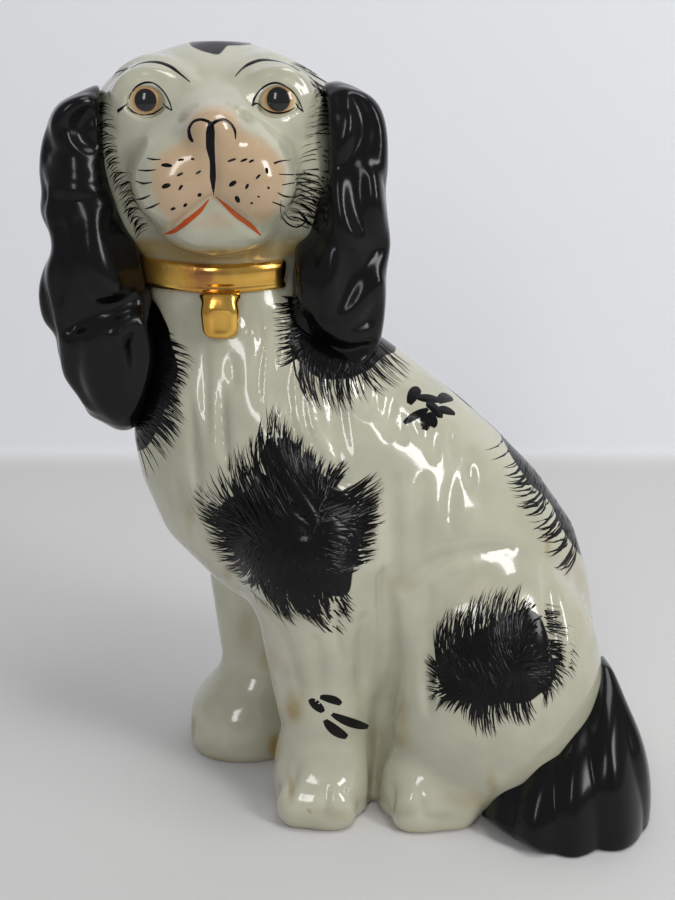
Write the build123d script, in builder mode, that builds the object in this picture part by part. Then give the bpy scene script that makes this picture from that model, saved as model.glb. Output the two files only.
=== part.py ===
from build123d import *
import math
import os

# Seated spaniel mantel figure in hollow glazed earthenware, life-size values in millimetres.
# The face looks along -Y, the dog's body runs from the chest at -X to the tail at +X, and +Z is up.
# The origin is the middle of the flat underside.

# Casting
wall = 4.5
slab_thickness = 5.0
vent_diameter = 9.0
vent_offset = 26.0
cut_margin = 1.0

# Body, measured from the origin
torso_left = -102.0
torso_right = 58.0
torso_near = -34.0
torso_far = 41.0
torso_top = 188.0

# Head and what it carries
head_left = -107.0
head_right = -38.5
head_near = -24.0
head_far = 48.0
head_bottom = 180.0
head_top = 243.0
muzzle_left = -96.0
muzzle_right = -47.0
muzzle_near = -34.0
muzzle_far = 4.0
muzzle_bottom = 185.0
muzzle_top = 228.0
eye_spacing = 36.7
eye_width = 15.5
eye_height = 9.5
eye_thickness = 9.0
eye_setback = 9.5
eye_level_share = 0.738

# Ears
right_ear_outer = -128.5
right_ear_inner = -88.0
right_ear_near = -17.0
right_ear_far = 21.0
right_ear_bottom = 121.0
right_ear_top = 233.0
left_ear_outer = -19.5
left_ear_inner = -53.0
left_ear_near = -17.0
left_ear_far = 21.0
left_ear_bottom = 138.0
left_ear_top = 236.0
ear_ridge_count = 14
ear_ridge_depth = 0.9

# Forelegs, each in its own box
foreleg_bottom = 10.0
left_foreleg_left = -66.0
left_foreleg_right = -19.0
left_foreleg_near = -43.0
left_foreleg_far = 3.0
left_foreleg_top = 120.0
right_foreleg_left = -75.0
right_foreleg_right = -44.0
right_foreleg_near = 6.0
right_foreleg_far = 40.0
right_foreleg_top = 100.0

# Haunches and paws
forepaw_width = 34.0
forepaw_length = 40.0
forepaw_height = 27.0
left_forepaw_x = -41.5
left_forepaw_y = -17.0
right_forepaw_x = -71.0
right_forepaw_y = 23.0
haunch_length = 78.0
haunch_depth = 54.0
haunch_height = 89.0
haunch_x = 16.0
left_haunch_y = -18.0
right_haunch_y = 22.0
hind_paw_width = 36.0
hind_paw_length = 42.0
hind_paw_height = 27.0
hind_paw_x = -6.0
left_hind_paw_y = -18.0
right_hind_paw_y = 24.0
paw_seat_share = 0.30
haunch_seat_share = 0.46

# Tail
tail_left = 10.0
tail_right = 68.0
tail_near = -56.0
tail_far = 12.0
tail_height = 48.0
tail_rib_count = 14
tail_rib_depth = 1.6

# Collar and padlock
collar_bottom = 167.5
collar_top = 179.5
collar_projection = 2.6
padlock_width = 11.6
padlock_height = 12.5
padlock_thickness = 5.0
padlock_round = 3.4
padlock_x = -71.5
padlock_near = -19.5

# Cross-sections as shares of each piece's own box: level, left, right, near and far.
torso_shares = (
    (0.000, 0.425, 0.975, 0.133, 0.907),
    (0.106, 0.410, 0.978, 0.093, 0.933),
    (0.213, 0.375, 0.966, 0.067, 0.960),
    (0.309, 0.288, 0.953, 0.040, 0.973),
    (0.383, 0.160, 0.938, 0.013, 0.987),
    (0.479, 0.056, 0.900, 0.000, 1.000),
    (0.574, 0.012, 0.820, 0.013, 1.000),
    (0.649, 0.000, 0.735, 0.053, 0.960),
    (0.729, 0.012, 0.625, 0.120, 0.907),
    (0.798, 0.025, 0.520, 0.213, 0.867),
    (0.878, 0.037, 0.370, 0.293, 0.853),
    (0.941, 0.050, 0.320, 0.320, 0.867),
    (1.000, 0.062, 0.306, 0.333, 0.867),
)
head_shares = (
    (0.000, 0.240, 0.760, 0.230, 0.760),
    (0.120, 0.120, 0.880, 0.120, 0.860),
    (0.270, 0.035, 0.965, 0.040, 0.940),
    (0.450, 0.000, 1.000, 0.000, 0.990),
    (0.620, 0.005, 0.995, 0.050, 1.000),
    (0.770, 0.045, 0.955, 0.130, 0.970),
    (0.890, 0.140, 0.860, 0.250, 0.880),
    (0.960, 0.270, 0.730, 0.370, 0.760),
    (1.000, 0.440, 0.560, 0.520, 0.610),
)
muzzle_shares = (
    (0.000, 0.370, 0.630, 0.560, 0.900),
    (0.100, 0.240, 0.760, 0.400, 1.000),
    (0.260, 0.080, 0.920, 0.200, 1.000),
    (0.430, 0.000, 1.000, 0.060, 1.000),
    (0.600, 0.060, 0.940, 0.000, 1.000),
    (0.760, 0.200, 0.800, 0.030, 1.000),
    (0.880, 0.300, 0.700, 0.160, 1.000),
    (1.000, 0.400, 0.600, 0.420, 0.900),
)
right_ear_shares = (
    (0.000, 0.500, 0.800, 0.330, 0.600),
    (0.050, 0.340, 0.930, 0.240, 0.680),
    (0.120, 0.230, 0.980, 0.180, 0.760),
    (0.200, 0.120, 0.960, 0.120, 0.830),
    (0.270, 0.050, 0.900, 0.070, 0.880),
    (0.320, 0.060, 0.850, 0.030, 0.920),
    (0.400, 0.000, 0.800, 0.000, 0.950),
    (0.500, 0.040, 0.740, 0.000, 0.970),
    (0.620, 0.060, 0.680, 0.030, 1.000),
    (0.740, 0.060, 0.620, 0.090, 1.000),
    (0.850, 0.120, 0.600, 0.190, 0.970),
    (0.940, 0.270, 0.620, 0.330, 0.880),
    (1.000, 0.460, 0.640, 0.500, 0.740),
)
left_ear_shares = (
    (0.000, 0.300, 0.780, 0.330, 0.600),
    (0.060, 0.120, 0.940, 0.200, 0.720),
    (0.140, 0.030, 0.990, 0.100, 0.820),
    (0.250, 0.010, 1.000, 0.030, 0.900),
    (0.370, 0.000, 0.960, 0.000, 0.940),
    (0.480, 0.010, 0.840, 0.000, 0.960),
    (0.580, 0.015, 0.720, 0.010, 0.980),
    (0.700, 0.010, 0.640, 0.060, 1.000),
    (0.820, 0.080, 0.640, 0.160, 0.980),
    (0.920, 0.280, 0.700, 0.300, 0.900),
    (1.000, 0.540, 0.780, 0.500, 0.740),
)
left_foreleg_shares = (
    (0.000, 0.260, 0.830, 0.300, 0.850),
    (0.150, 0.240, 0.840, 0.250, 0.850),
    (0.350, 0.160, 0.880, 0.150, 0.935),
    (0.550, 0.085, 0.936, 0.054, 1.000),
    (0.750, 0.020, 0.957, 0.020, 1.000),
    (0.900, 0.085, 0.850, 0.065, 1.000),
    (1.000, 0.300, 0.640, 0.220, 0.900),
)
right_foreleg_shares = (
    (0.000, 0.065, 0.806, 0.176, 0.790),
    (0.250, 0.065, 0.840, 0.200, 0.800),
    (0.600, 0.030, 0.900, 0.090, 0.880),
    (0.850, 0.030, 0.970, 0.030, 0.970),
    (1.000, 0.290, 0.740, 0.240, 0.760),
)
tail_shares = (
    (0.000, 0.020, 0.980, 0.020, 0.850),
    (0.090, 0.000, 1.000, 0.000, 0.875),
    (0.260, 0.050, 0.990, 0.020, 0.910),
    (0.450, 0.170, 0.965, 0.065, 0.950),
    (0.640, 0.330, 0.940, 0.155, 0.980),
    (0.820, 0.490, 0.900, 0.285, 0.980),
    (1.000, 0.620, 0.835, 0.455, 0.880),
)
smooth_points = 16
ridge_points = 4


def between(low, high, share):
    return low + (high - low) * share


def section(left, right, near, far, level, ridges, depth):
    """One closed horizontal outline: an ellipse in its own box, with soft ridges round it."""
    count = smooth_points if ridges == 0 else ridges * ridge_points
    middle_x = (left + right) / 2
    middle_y = (near + far) / 2
    half_x = abs(right - left) / 2
    half_y = abs(far - near) / 2
    ridge = min(depth, min(half_x, half_y) / 4)
    points = []
    for index in range(count):
        turn = 2 * math.pi * index / count
        swell = ridge * (math.cos(ridges * turn) - 1) / 2
        x = middle_x + (half_x + swell) * math.cos(turn)
        y = middle_y + (half_y + swell) * math.sin(turn)
        points.append((x, y))
    with BuildSketch(Plane.XY.offset(level), mode=Mode.PRIVATE) as outline:
        with BuildLine():
            Spline(*points, periodic=True)
        make_face()
    return outline.sketch.faces()[0]


def sections(left, right, near, far, bottom, top, shares, ridges=0, depth=0, inset=0):
    """The outlines of one piece, from the bottom up, each moved in by the inset."""
    faces = []
    for level_share, left_share, right_share, near_share, far_share in shares:
        level = between(bottom, top, level_share)
        low_x = between(left, right, left_share)
        high_x = between(left, right, right_share)
        low_y = between(near, far, near_share)
        high_y = between(near, far, far_share)
        side = math.copysign(inset, right - left)
        faces.append(
            section(low_x + side, high_x - side, low_y + inset, high_y - inset, level, ridges, depth)
        )
    return faces


# Outer forms of the hollow casting
with BuildPart() as torso_form:
    loft(
        sections=sections(
            torso_left, torso_right, torso_near, torso_far, 0, torso_top, torso_shares
        )
    )

with BuildPart() as head_form:
    loft(
        sections=sections(
            head_left, head_right, head_near, head_far, head_bottom, head_top, head_shares
        )
    )

# Cavities, each the same form moved in by the wall
with BuildPart() as torso_cavity:
    loft(
        sections=sections(
            torso_left, torso_right, torso_near, torso_far, 0, torso_top, torso_shares, inset=wall
        )
    )

with BuildPart() as head_cavity:
    loft(
        sections=sections(
            head_left, head_right, head_near, head_far, head_bottom + wall, head_top - wall,
            head_shares[:-1], inset=wall
        )
    )

# Torso, open at the bottom above the slab and at the neck
with BuildPart() as torso:
    add(torso_form.part)
    add(torso_cavity.part, mode=Mode.SUBTRACT)
    split(bisect_by=Plane.XY.offset(slab_thickness), keep=Keep.TOP)

# Base slab with its vent
with BuildPart() as base_slab:
    add(torso_form.part)
    split(bisect_by=Plane.XY.offset(slab_thickness), keep=Keep.BOTTOM)
    with Locations((vent_offset, 0, slab_thickness)):
        Hole(vent_diameter / 2)

# Head, cut where the neck stump enters it
with BuildPart() as head:
    add(head_form.part)
    add(head_cavity.part, mode=Mode.SUBTRACT)
    add(torso_form.part, mode=Mode.SUBTRACT)

with BuildPart() as muzzle:
    loft(
        sections=sections(
            muzzle_left, muzzle_right, muzzle_near, muzzle_far, muzzle_bottom, muzzle_top, muzzle_shares
        )
    )
    add(head_form.part, mode=Mode.SUBTRACT)
    add(torso_form.part, mode=Mode.SUBTRACT)

# Collar, a band round the neck
neck_x = between(torso_left, torso_right, (torso_shares[-2][1] + torso_shares[-2][2]) / 2)
neck_y = between(torso_near, torso_far, (torso_shares[-2][3] + torso_shares[-2][4]) / 2)
neck_half_x = (torso_right - torso_left) * (torso_shares[-2][2] - torso_shares[-2][1]) / 2
neck_half_y = (torso_far - torso_near) * (torso_shares[-2][4] - torso_shares[-2][3]) / 2
collar_middle = (collar_bottom + collar_top) / 2
collar_half = (collar_top - collar_bottom) / 2


def collar_outline(level_share, projection):
    """The collar's outline at one level, standing out from the neck."""
    return section(
        neck_x - neck_half_x - projection,
        neck_x + neck_half_x + projection,
        neck_y - neck_half_y - projection,
        neck_y + neck_half_y + projection,
        between(collar_bottom, collar_top, level_share),
        0,
        0,
    )


with BuildPart() as collar:
    loft(
        sections=[
            collar_outline(0, collar_projection / 2),
            collar_outline(1 / 4, collar_projection),
            collar_outline(3 / 4, collar_projection),
            collar_outline(1, collar_projection / 2),
        ]
    )
    add(torso_form.part, mode=Mode.SUBTRACT)
    add(head_form.part, mode=Mode.SUBTRACT)

with BuildPart() as padlock:
    with BuildSketch(Plane.XZ.offset(-padlock_near)):
        with Locations((padlock_x, collar_bottom - padlock_height / 2 + cut_margin)):
            RectangleRounded(padlock_width, padlock_height, padlock_round)
    extrude(amount=-2 * padlock_thickness)
    add(torso_form.part, mode=Mode.SUBTRACT)
    add(collar.part, mode=Mode.SUBTRACT)


# Ears, flat hanging lobes with combed hair ridges
with BuildPart() as right_ear:
    loft(
        sections=sections(
            right_ear_outer, right_ear_inner, right_ear_near, right_ear_far,
            right_ear_bottom, right_ear_top, right_ear_shares, ear_ridge_count, ear_ridge_depth,
        )
    )
    add(head_form.part, mode=Mode.SUBTRACT)
    add(torso_form.part, mode=Mode.SUBTRACT)
    add(collar.part, mode=Mode.SUBTRACT)

with BuildPart() as left_ear:
    loft(
        sections=sections(
            left_ear_outer, left_ear_inner, left_ear_near, left_ear_far,
            left_ear_bottom, left_ear_top, left_ear_shares, ear_ridge_count, ear_ridge_depth,
        )
    )
    add(head_form.part, mode=Mode.SUBTRACT)
    add(torso_form.part, mode=Mode.SUBTRACT)
    add(collar.part, mode=Mode.SUBTRACT)


def eye_form(side):
    """An eyeball set in the brow, on one side of the face."""
    x = between(head_left, head_right, 1 / 2) + side * eye_spacing / 2
    half_size = (eye_width / 2, eye_thickness / 2, eye_height / 2)
    ball = scale(Sphere(1, mode=Mode.PRIVATE), by=half_size, mode=Mode.PRIVATE)
    y = head_near + eye_setback + eye_thickness / 2
    z = between(head_bottom, head_top, eye_level_share)
    return Pos(x, y, z) * ball


right_eye_ball = eye_form(-1)
left_eye_ball = eye_form(1)

with BuildPart() as right_eye:
    add(right_eye_ball)
    add(head_form.part, mode=Mode.SUBTRACT)
    add(muzzle.part, mode=Mode.SUBTRACT)

with BuildPart() as left_eye:
    add(left_eye_ball)
    add(head_form.part, mode=Mode.SUBTRACT)
    add(muzzle.part, mode=Mode.SUBTRACT)


def bulge(width, depth, height, seat_share, x, y):
    """A rounded mass that sits on the ground, widest where the seat share says."""
    middle = height * seat_share
    half_height = height - middle
    ball = scale(Sphere(1, mode=Mode.PRIVATE), by=(width / 2, depth / 2, half_height), mode=Mode.PRIVATE)
    moved = Pos(x, y, middle) * ball
    return split(moved, bisect_by=Plane.XY, keep=Keep.TOP, mode=Mode.PRIVATE)


# Paws
forepaw_size = (forepaw_width, forepaw_length, forepaw_height, paw_seat_share)
hind_paw_size = (hind_paw_width, hind_paw_length, hind_paw_height, paw_seat_share)
haunch_size = (haunch_length, haunch_depth, haunch_height, haunch_seat_share)

left_forepaw_form = bulge(*forepaw_size, left_forepaw_x, left_forepaw_y)
right_forepaw_form = bulge(*forepaw_size, right_forepaw_x, right_forepaw_y)
left_hind_paw_form = bulge(*hind_paw_size, hind_paw_x, left_hind_paw_y)
right_hind_paw_form = bulge(*hind_paw_size, hind_paw_x, right_hind_paw_y)
left_haunch_form = bulge(*haunch_size, haunch_x, left_haunch_y)
right_haunch_form = bulge(*haunch_size, haunch_x, right_haunch_y)

with BuildPart() as left_forepaw:
    add(left_forepaw_form)
    add(torso_form.part, mode=Mode.SUBTRACT)

with BuildPart() as right_forepaw:
    add(right_forepaw_form)
    add(torso_form.part, mode=Mode.SUBTRACT)

with BuildPart() as left_hind_paw:
    add(left_hind_paw_form)
    add(torso_form.part, mode=Mode.SUBTRACT)

with BuildPart() as right_hind_paw:
    add(right_hind_paw_form)
    add(torso_form.part, mode=Mode.SUBTRACT)

# Haunches, cut to the paws in front of them
with BuildPart() as left_haunch:
    add(left_haunch_form)
    add(left_hind_paw_form, mode=Mode.SUBTRACT)
    add(torso_form.part, mode=Mode.SUBTRACT)

with BuildPart() as right_haunch:
    add(right_haunch_form)
    add(right_hind_paw_form, mode=Mode.SUBTRACT)
    add(torso_form.part, mode=Mode.SUBTRACT)

# Forelegs, standing on the paws
with BuildPart() as left_foreleg:
    loft(
        sections=sections(
            left_foreleg_left, left_foreleg_right, left_foreleg_near, left_foreleg_far,
            foreleg_bottom, left_foreleg_top, left_foreleg_shares,
        )
    )
    add(left_forepaw_form, mode=Mode.SUBTRACT)
    add(torso_form.part, mode=Mode.SUBTRACT)

with BuildPart() as right_foreleg:
    loft(
        sections=sections(
            right_foreleg_left, right_foreleg_right, right_foreleg_near, right_foreleg_far,
            foreleg_bottom, right_foreleg_top, right_foreleg_shares,
        )
    )
    add(right_forepaw_form, mode=Mode.SUBTRACT)
    add(torso_form.part, mode=Mode.SUBTRACT)

# Tail, a ribbed fan that stands on the ground beside the haunch
with BuildPart() as tail:
    loft(
        sections=sections(
            tail_left, tail_right, tail_near, tail_far, 0, tail_height, tail_shares,
            tail_rib_count, tail_rib_depth,
        )
    )
    add(torso_form.part, mode=Mode.SUBTRACT)
    add(left_haunch_form, mode=Mode.SUBTRACT)

os.makedirs("parts", exist_ok=True)
for piece, name in (
    (torso, "torso"),
    (base_slab, "base_slab"),
    (head, "head"),
    (muzzle, "muzzle"),
    (right_ear, "right_ear"),
    (left_ear, "left_ear"),
    (right_eye, "right_eye"),
    (left_eye, "left_eye"),
    (right_foreleg, "right_foreleg"),
    (left_foreleg, "left_foreleg"),
    (right_forepaw, "right_forepaw"),
    (left_forepaw, "left_forepaw"),
    (right_haunch, "right_haunch"),
    (left_haunch, "left_haunch"),
    (right_hind_paw, "right_hind_paw"),
    (left_hind_paw, "left_hind_paw"),
    (tail, "tail"),
    (collar, "collar"),
    (padlock, "padlock"),
):
    piece.part.label = name
    export_step(piece.part, f"parts/{name}.step")
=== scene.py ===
"""Staffordshire dog figure: a hollow glazed earthenware spaniel with painted hair and gilding.

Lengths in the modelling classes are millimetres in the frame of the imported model.
Meshes are written in metres.
"""

import logging
import math
from dataclasses import dataclass, replace
from enum import Enum
from typing import Optional, Sequence

import bpy
import numpy as np
import openvdb
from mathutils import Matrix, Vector
from mathutils.bvhtree import BVHTree


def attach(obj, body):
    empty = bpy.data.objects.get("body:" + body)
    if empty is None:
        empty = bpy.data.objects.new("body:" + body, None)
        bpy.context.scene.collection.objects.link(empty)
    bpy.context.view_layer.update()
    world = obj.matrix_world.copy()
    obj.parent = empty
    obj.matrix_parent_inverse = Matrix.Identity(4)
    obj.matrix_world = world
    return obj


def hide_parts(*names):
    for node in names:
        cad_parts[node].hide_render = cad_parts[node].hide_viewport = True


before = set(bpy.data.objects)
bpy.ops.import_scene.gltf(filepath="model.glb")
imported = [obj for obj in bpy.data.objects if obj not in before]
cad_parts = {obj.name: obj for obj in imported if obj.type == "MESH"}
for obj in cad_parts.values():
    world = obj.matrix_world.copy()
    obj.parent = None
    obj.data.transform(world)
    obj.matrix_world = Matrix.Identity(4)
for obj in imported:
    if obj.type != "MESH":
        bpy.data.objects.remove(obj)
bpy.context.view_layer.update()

log = logging.getLogger("figure")
MM = 0.001
Point = tuple[float, float, float]
Pixel = tuple[float, float]
Colour = tuple[float, float, float, float]

# Distance that a block holds where it has no clay, and depth given to points that a view doesn't see
EMPTY = 50.0
UNSEEN = -20.0

# Pixels of the photograph to a millimetre where each piece stands
BODY_PIXELS = 3.1
HEAD_PIXELS = 3.4
EAR_PIXELS = 3.0
TAIL_PIXELS = 2.35

# The lowest X that an ear reaches
EAR_LIMIT = -128.3


class Slot(Enum):
    """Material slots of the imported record."""

    IVORY = "ivory_glaze"
    BLACK = "black_glaze"
    GILT = "gilding"
    EYE = "eye_enamel"
    CLAY = "bare_clay"


@dataclass(frozen=True)
class PhotoView:
    """The viewpoint of the photograph, with its pixels in a 675 by 900 frame."""

    place: Point = (-36.0, -385.0, 240.0)
    tilt: float = math.radians(17.8)
    lens: float = 50.0
    sensor: float = 36.0
    width: int = 675
    height: int = 900

    @property
    def focal(self) -> float:
        """Focal length in pixels."""
        return self.height * self.lens / self.sensor

    def axes(self) -> tuple[np.ndarray, np.ndarray, np.ndarray]:
        """Forward, right and up directions of the view.

        Returns:
            Three unit directions.
        """
        forward = np.array([0.0, math.cos(self.tilt), -math.sin(self.tilt)])
        up = np.array([0.0, math.sin(self.tilt), math.cos(self.tilt)])
        return forward, np.array([1.0, 0.0, 0.0]), up

    def pixels(self, points: np.ndarray) -> np.ndarray:
        """Pixel of each point.

        Args:
            points: Places in millimetres, one row each.

        Returns:
            One pixel a row.
        """
        forward, right, up = self.axes()
        away = points - np.array(self.place)
        depth = away @ forward
        across = self.width / 2 + self.focal * (away @ right) / depth
        down = self.height / 2 - self.focal * (away @ up) / depth
        return np.stack([across, down], axis=-1)

    def ray(self, pixel: Pixel) -> tuple[np.ndarray, np.ndarray]:
        """Start and direction of the sight line through a pixel.

        Args:
            pixel: A pixel of the view.

        Returns:
            A place and a unit direction.
        """
        forward, right, up = self.axes()
        toward = forward
        toward = toward + (pixel[0] - self.width / 2) / self.focal * right
        toward = toward - (pixel[1] - self.height / 2) / self.focal * up
        return np.array(self.place), toward / np.linalg.norm(toward)

    def at_depth(self, pixel: Pixel, depth: float) -> np.ndarray:
        """Place on a pixel's sight line where Y has the given value."""
        start, toward = self.ray(pixel)
        return start + toward * (depth - start[1]) / toward[1]


@dataclass(frozen=True)
class SideView:
    """A flat view from any side, with its pixels in millimetres from the centre."""

    azimuth: float
    centre: Point
    distance: float = 400.0

    def axes(self) -> tuple[np.ndarray, np.ndarray, np.ndarray]:
        """Forward, right and up directions of the view.

        Returns:
            Three unit directions.
        """
        turn = math.radians(self.azimuth)
        back = np.array([math.sin(turn), -math.cos(turn), 0.0])
        right = np.array([math.cos(turn), math.sin(turn), 0.0])
        return -back, right, np.cross(back, right)

    def pixels(self, points: np.ndarray) -> np.ndarray:
        """Place of each point in the view.

        Args:
            points: Places in millimetres, one row each.

        Returns:
            One pixel a row.
        """
        _, right, up = self.axes()
        away = points - np.array(self.centre)
        return np.stack([away @ right, -(away @ up)], axis=-1)

    def ray(self, pixel: Pixel) -> tuple[np.ndarray, np.ndarray]:
        """Start and direction of the sight line through a place in the view.

        Args:
            pixel: A pixel of the view.

        Returns:
            A place and a unit direction.
        """
        forward, right, up = self.axes()
        start = np.array(self.centre) + pixel[0] * right - pixel[1] * up
        return start - self.distance * forward, forward


PHOTO = PhotoView()
BACK = SideView(180.0, (0.0, 0.0, 0.0))
LEFT = SideView(-90.0, (0.0, 0.0, 0.0))
RIGHT = SideView(90.0, (0.0, 0.0, 0.0))


@dataclass(frozen=True)
class Ridge:
    """A raised roll or a scored groove along a line seen in a view."""

    line: Sequence[Pixel]
    radius: float
    raised: bool = True
    sink: float = 0.35
    tip: float = 0.3
    fillet: float = 1.5
    view: "PhotoView | SideView" = PHOTO


class Clay:
    """A block of clay held as signed distances on a grid, negative inside, in millimetres."""

    def __init__(self, low: Sequence[float], high: Sequence[float], grain: float) -> None:
        """Makes an empty block.

        Args:
            low: Lowest corner.
            high: Highest corner.
            grain: Grid spacing.
        """
        self.low = np.array(low, dtype=np.float64)
        self.grain = grain
        counts = np.ceil((np.array(high) - self.low) / grain).astype(int) + 1
        lines = [self.low[axis] + grain * np.arange(counts[axis]) for axis in range(3)]
        self.x = lines[0].astype(np.float32)[:, None, None]
        self.y = lines[1].astype(np.float32)[None, :, None]
        self.z = lines[2].astype(np.float32)[None, None, :]
        self.depth = np.full(counts, EMPTY, dtype=np.float32)

    def part(self, low: Sequence[float], high: Sequence[float]) -> "Clay":
        """A view of the same clay that covers only one region.

        Args:
            low: Lowest corner of the region.
            high: Highest corner of the region.

        Returns:
            Clay that shares its depths.
        """
        piece = object.__new__(Clay)
        spans = []
        for axis in range(3):
            start = int(max(0, (low[axis] - self.low[axis]) / self.grain))
            stop = int((high[axis] - self.low[axis]) / self.grain) + 2
            spans.append(slice(start, max(start + 1, stop)))
        piece.low = self.low
        piece.grain = self.grain
        piece.x = self.x[spans[0]]
        piece.y = self.y[:, spans[1]]
        piece.z = self.z[:, :, spans[2]]
        piece.depth = self.depth[spans[0], spans[1], spans[2]]
        return piece

    def join(self, form: np.ndarray, fillet: float) -> None:
        """Adds a form with a soft fillet."""
        self.depth[...] = soft_min(self.depth, form, fillet)

    def carve(self, form: np.ndarray, fillet: float) -> None:
        """Cuts a form away with a soft edge."""
        self.depth[...] = -soft_min(-self.depth, form, fillet)

    def add(self, bulge: "Bulge") -> None:
        """Joins a rounded mass to the clay."""
        self.join(self.ellipsoid(bulge.centre, bulge.radii, bulge.power), bulge.fillet)

    def ellipsoid(self, centre: Point, radii: Point, power: float = 2.0) -> np.ndarray:
        """Distances to an ellipsoid, which a power over 2 makes squarer.

        Args:
            centre: Its middle.
            radii: Its radii.
            power: 2 for round, more for squarer.

        Returns:
            Distances, negative inside.
        """
        dx = (self.x - centre[0]) / radii[0]
        dy = (self.y - centre[1]) / radii[1]
        dz = (self.z - centre[2]) / radii[2]
        if power == 2.0:
            size = np.sqrt(dx * dx + dy * dy + dz * dz)
        else:
            size = (np.abs(dx) ** power + np.abs(dy) ** power + np.abs(dz) ** power) ** (1 / power)
        slope = np.sqrt((dx / radii[0]) ** 2 + (dy / radii[1]) ** 2 + (dz / radii[2]) ** 2)
        return size * (size - 1) / np.maximum(slope, 1e-6)

    def stack(self, stations: Sequence[Sequence[float]], soft: float = 4.0) -> np.ndarray:
        """Distances to a form lofted through level ellipses.

        Args:
            stations: Height, left, right, near and far of each ellipse, from the bottom up.
            soft: How far the loft is rounded along its height.

        Returns:
            Distances, negative inside.
        """
        table = np.array(stations)
        heights = self.z.ravel()
        lines = [smooth_line(heights, table[:, 0], table[:, column], soft) for column in range(1, 5)]
        middle_x = ((lines[0] + lines[1]) / 2).astype(np.float32)[None, None, :]
        middle_y = ((lines[2] + lines[3]) / 2).astype(np.float32)[None, None, :]
        half_x = (np.abs(lines[1] - lines[0]) / 2).astype(np.float32)[None, None, :]
        half_y = (np.abs(lines[3] - lines[2]) / 2).astype(np.float32)[None, None, :]
        form = ellipse_depth(self.x - middle_x, self.y - middle_y, half_x, half_y)
        form = np.maximum(form, table[0, 0] - self.z)
        return np.maximum(form, self.z - table[-1, 0])

    def chain(self, points: Sequence[Sequence[float]], radii: Sequence[float]) -> np.ndarray:
        """Distances to a rounded line that swells and tapers along its points.

        Args:
            points: Places along the line or surface.
            radii: Radius at each point.

        Returns:
            Distances, negative inside.
        """
        best = np.full(self.depth.shape, EMPTY, dtype=np.float32)
        for first, last, start, end in zip(points[:-1], points[1:], radii[:-1], radii[1:]):
            run = np.array(last, dtype=np.float32) - np.array(first, dtype=np.float32)
            px, py, pz = self.x - first[0], self.y - first[1], self.z - first[2]
            share = np.clip((px * run[0] + py * run[1] + pz * run[2]) / max(1e-6, float(run @ run)), 0, 1)
            dx, dy, dz = px - run[0] * share, py - run[1] * share, pz - run[2] * share
            gap = np.sqrt(dx**2 + dy**2 + dz**2)
            best = np.minimum(best, gap - (start + (end - start) * share))
        return best

    def near_chain(self, points: Sequence[Sequence[float]], radii: Sequence[float], margin: float) -> "Clay":
        """The region of the clay round a rounded line.

        Args:
            points: Places along the line or surface.
            radii: Radius at each point.
            margin: Clay kept round it.

        Returns:
            The region.
        """
        table = np.array(points)
        reach = max(radii) + margin
        return self.part(table.min(0) - reach, table.max(0) + reach)

    def add_chain(self, points: Sequence[Sequence[float]], radii: Sequence[float], fillet: float) -> None:
        """Lays a roll of clay along a line."""
        piece = self.near_chain(points, radii, 2 * fillet + 1)
        piece.join(piece.chain(points, radii), fillet)

    def cut_chain(self, points: Sequence[Sequence[float]], radii: Sequence[float], fillet: float) -> None:
        """Scores a groove along a line."""
        piece = self.near_chain(points, radii, 2 * fillet + 1)
        piece.carve(piece.chain(points, radii), fillet)

    def drape(self, view: "PhotoView | SideView", line: Sequence[Pixel]) -> np.ndarray:
        """Places where the sight lines through a line's pixels meet the clay, or pass it closest.

        Args:
            view: The view that the pixels belong to.
            line: Pixels along the line.

        Returns:
            Places in millimetres.
        """
        steps = np.arange(150.0, 800.0, self.grain / 2)
        places = []
        for pixel in line:
            start, toward = view.ray(pixel)
            along = start + steps[:, None] * toward
            index = np.rint((along - self.low) / self.grain).astype(int)
            held = ((index >= 0) & (index < self.depth.shape)).all(axis=1)
            if not held.any():
                continue
            depths = self.depth[tuple(index[held].T)]
            touched = np.nonzero(depths <= 0)[0]
            places.append(along[held][touched[0] if len(touched) else int(depths.argmin())])
        table = np.array(places)
        for _ in range(10):
            table[1:-1] = (table[:-2] + 2 * table[1:-1] + table[2:]) / 4
        return table

    def lay(self, ridge: "Ridge") -> None:
        """Lays a roll of clay, or scores a groove, along a ridge's line.

        Args:
            ridge: The roll or groove.
        """
        table = self.drape(ridge.view, smooth_path(ridge.line))
        if len(table) < 2:
            return
        _, toward = ridge.view.ray(ridge.line[len(ridge.line) // 2])
        shares = np.linspace(0, 1, len(table))
        radii = ridge.radius * (ridge.tip + (1 - ridge.tip) * np.sin(math.pi * shares) ** 0.7)
        shift = ridge.sink * radii if ridge.raised else -ridge.sink * radii
        table = table + shift[:, None] * toward
        if ridge.raised:
            self.add_chain(table, radii, ridge.fillet)
        else:
            self.cut_chain(table, radii, ridge.fillet)

    def soften(self, rounds: int) -> None:
        """Rounds every edge a little, as thick glaze does.

        Args:
            rounds: How often it is repeated.
        """
        for _ in range(rounds):
            field = self.depth.copy()
            for axis in range(3):
                field[...] += np.roll(self.depth, 1, axis) + np.roll(self.depth, -1, axis)
            self.depth[1:-1, 1:-1, 1:-1] = field[1:-1, 1:-1, 1:-1] / 7

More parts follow.
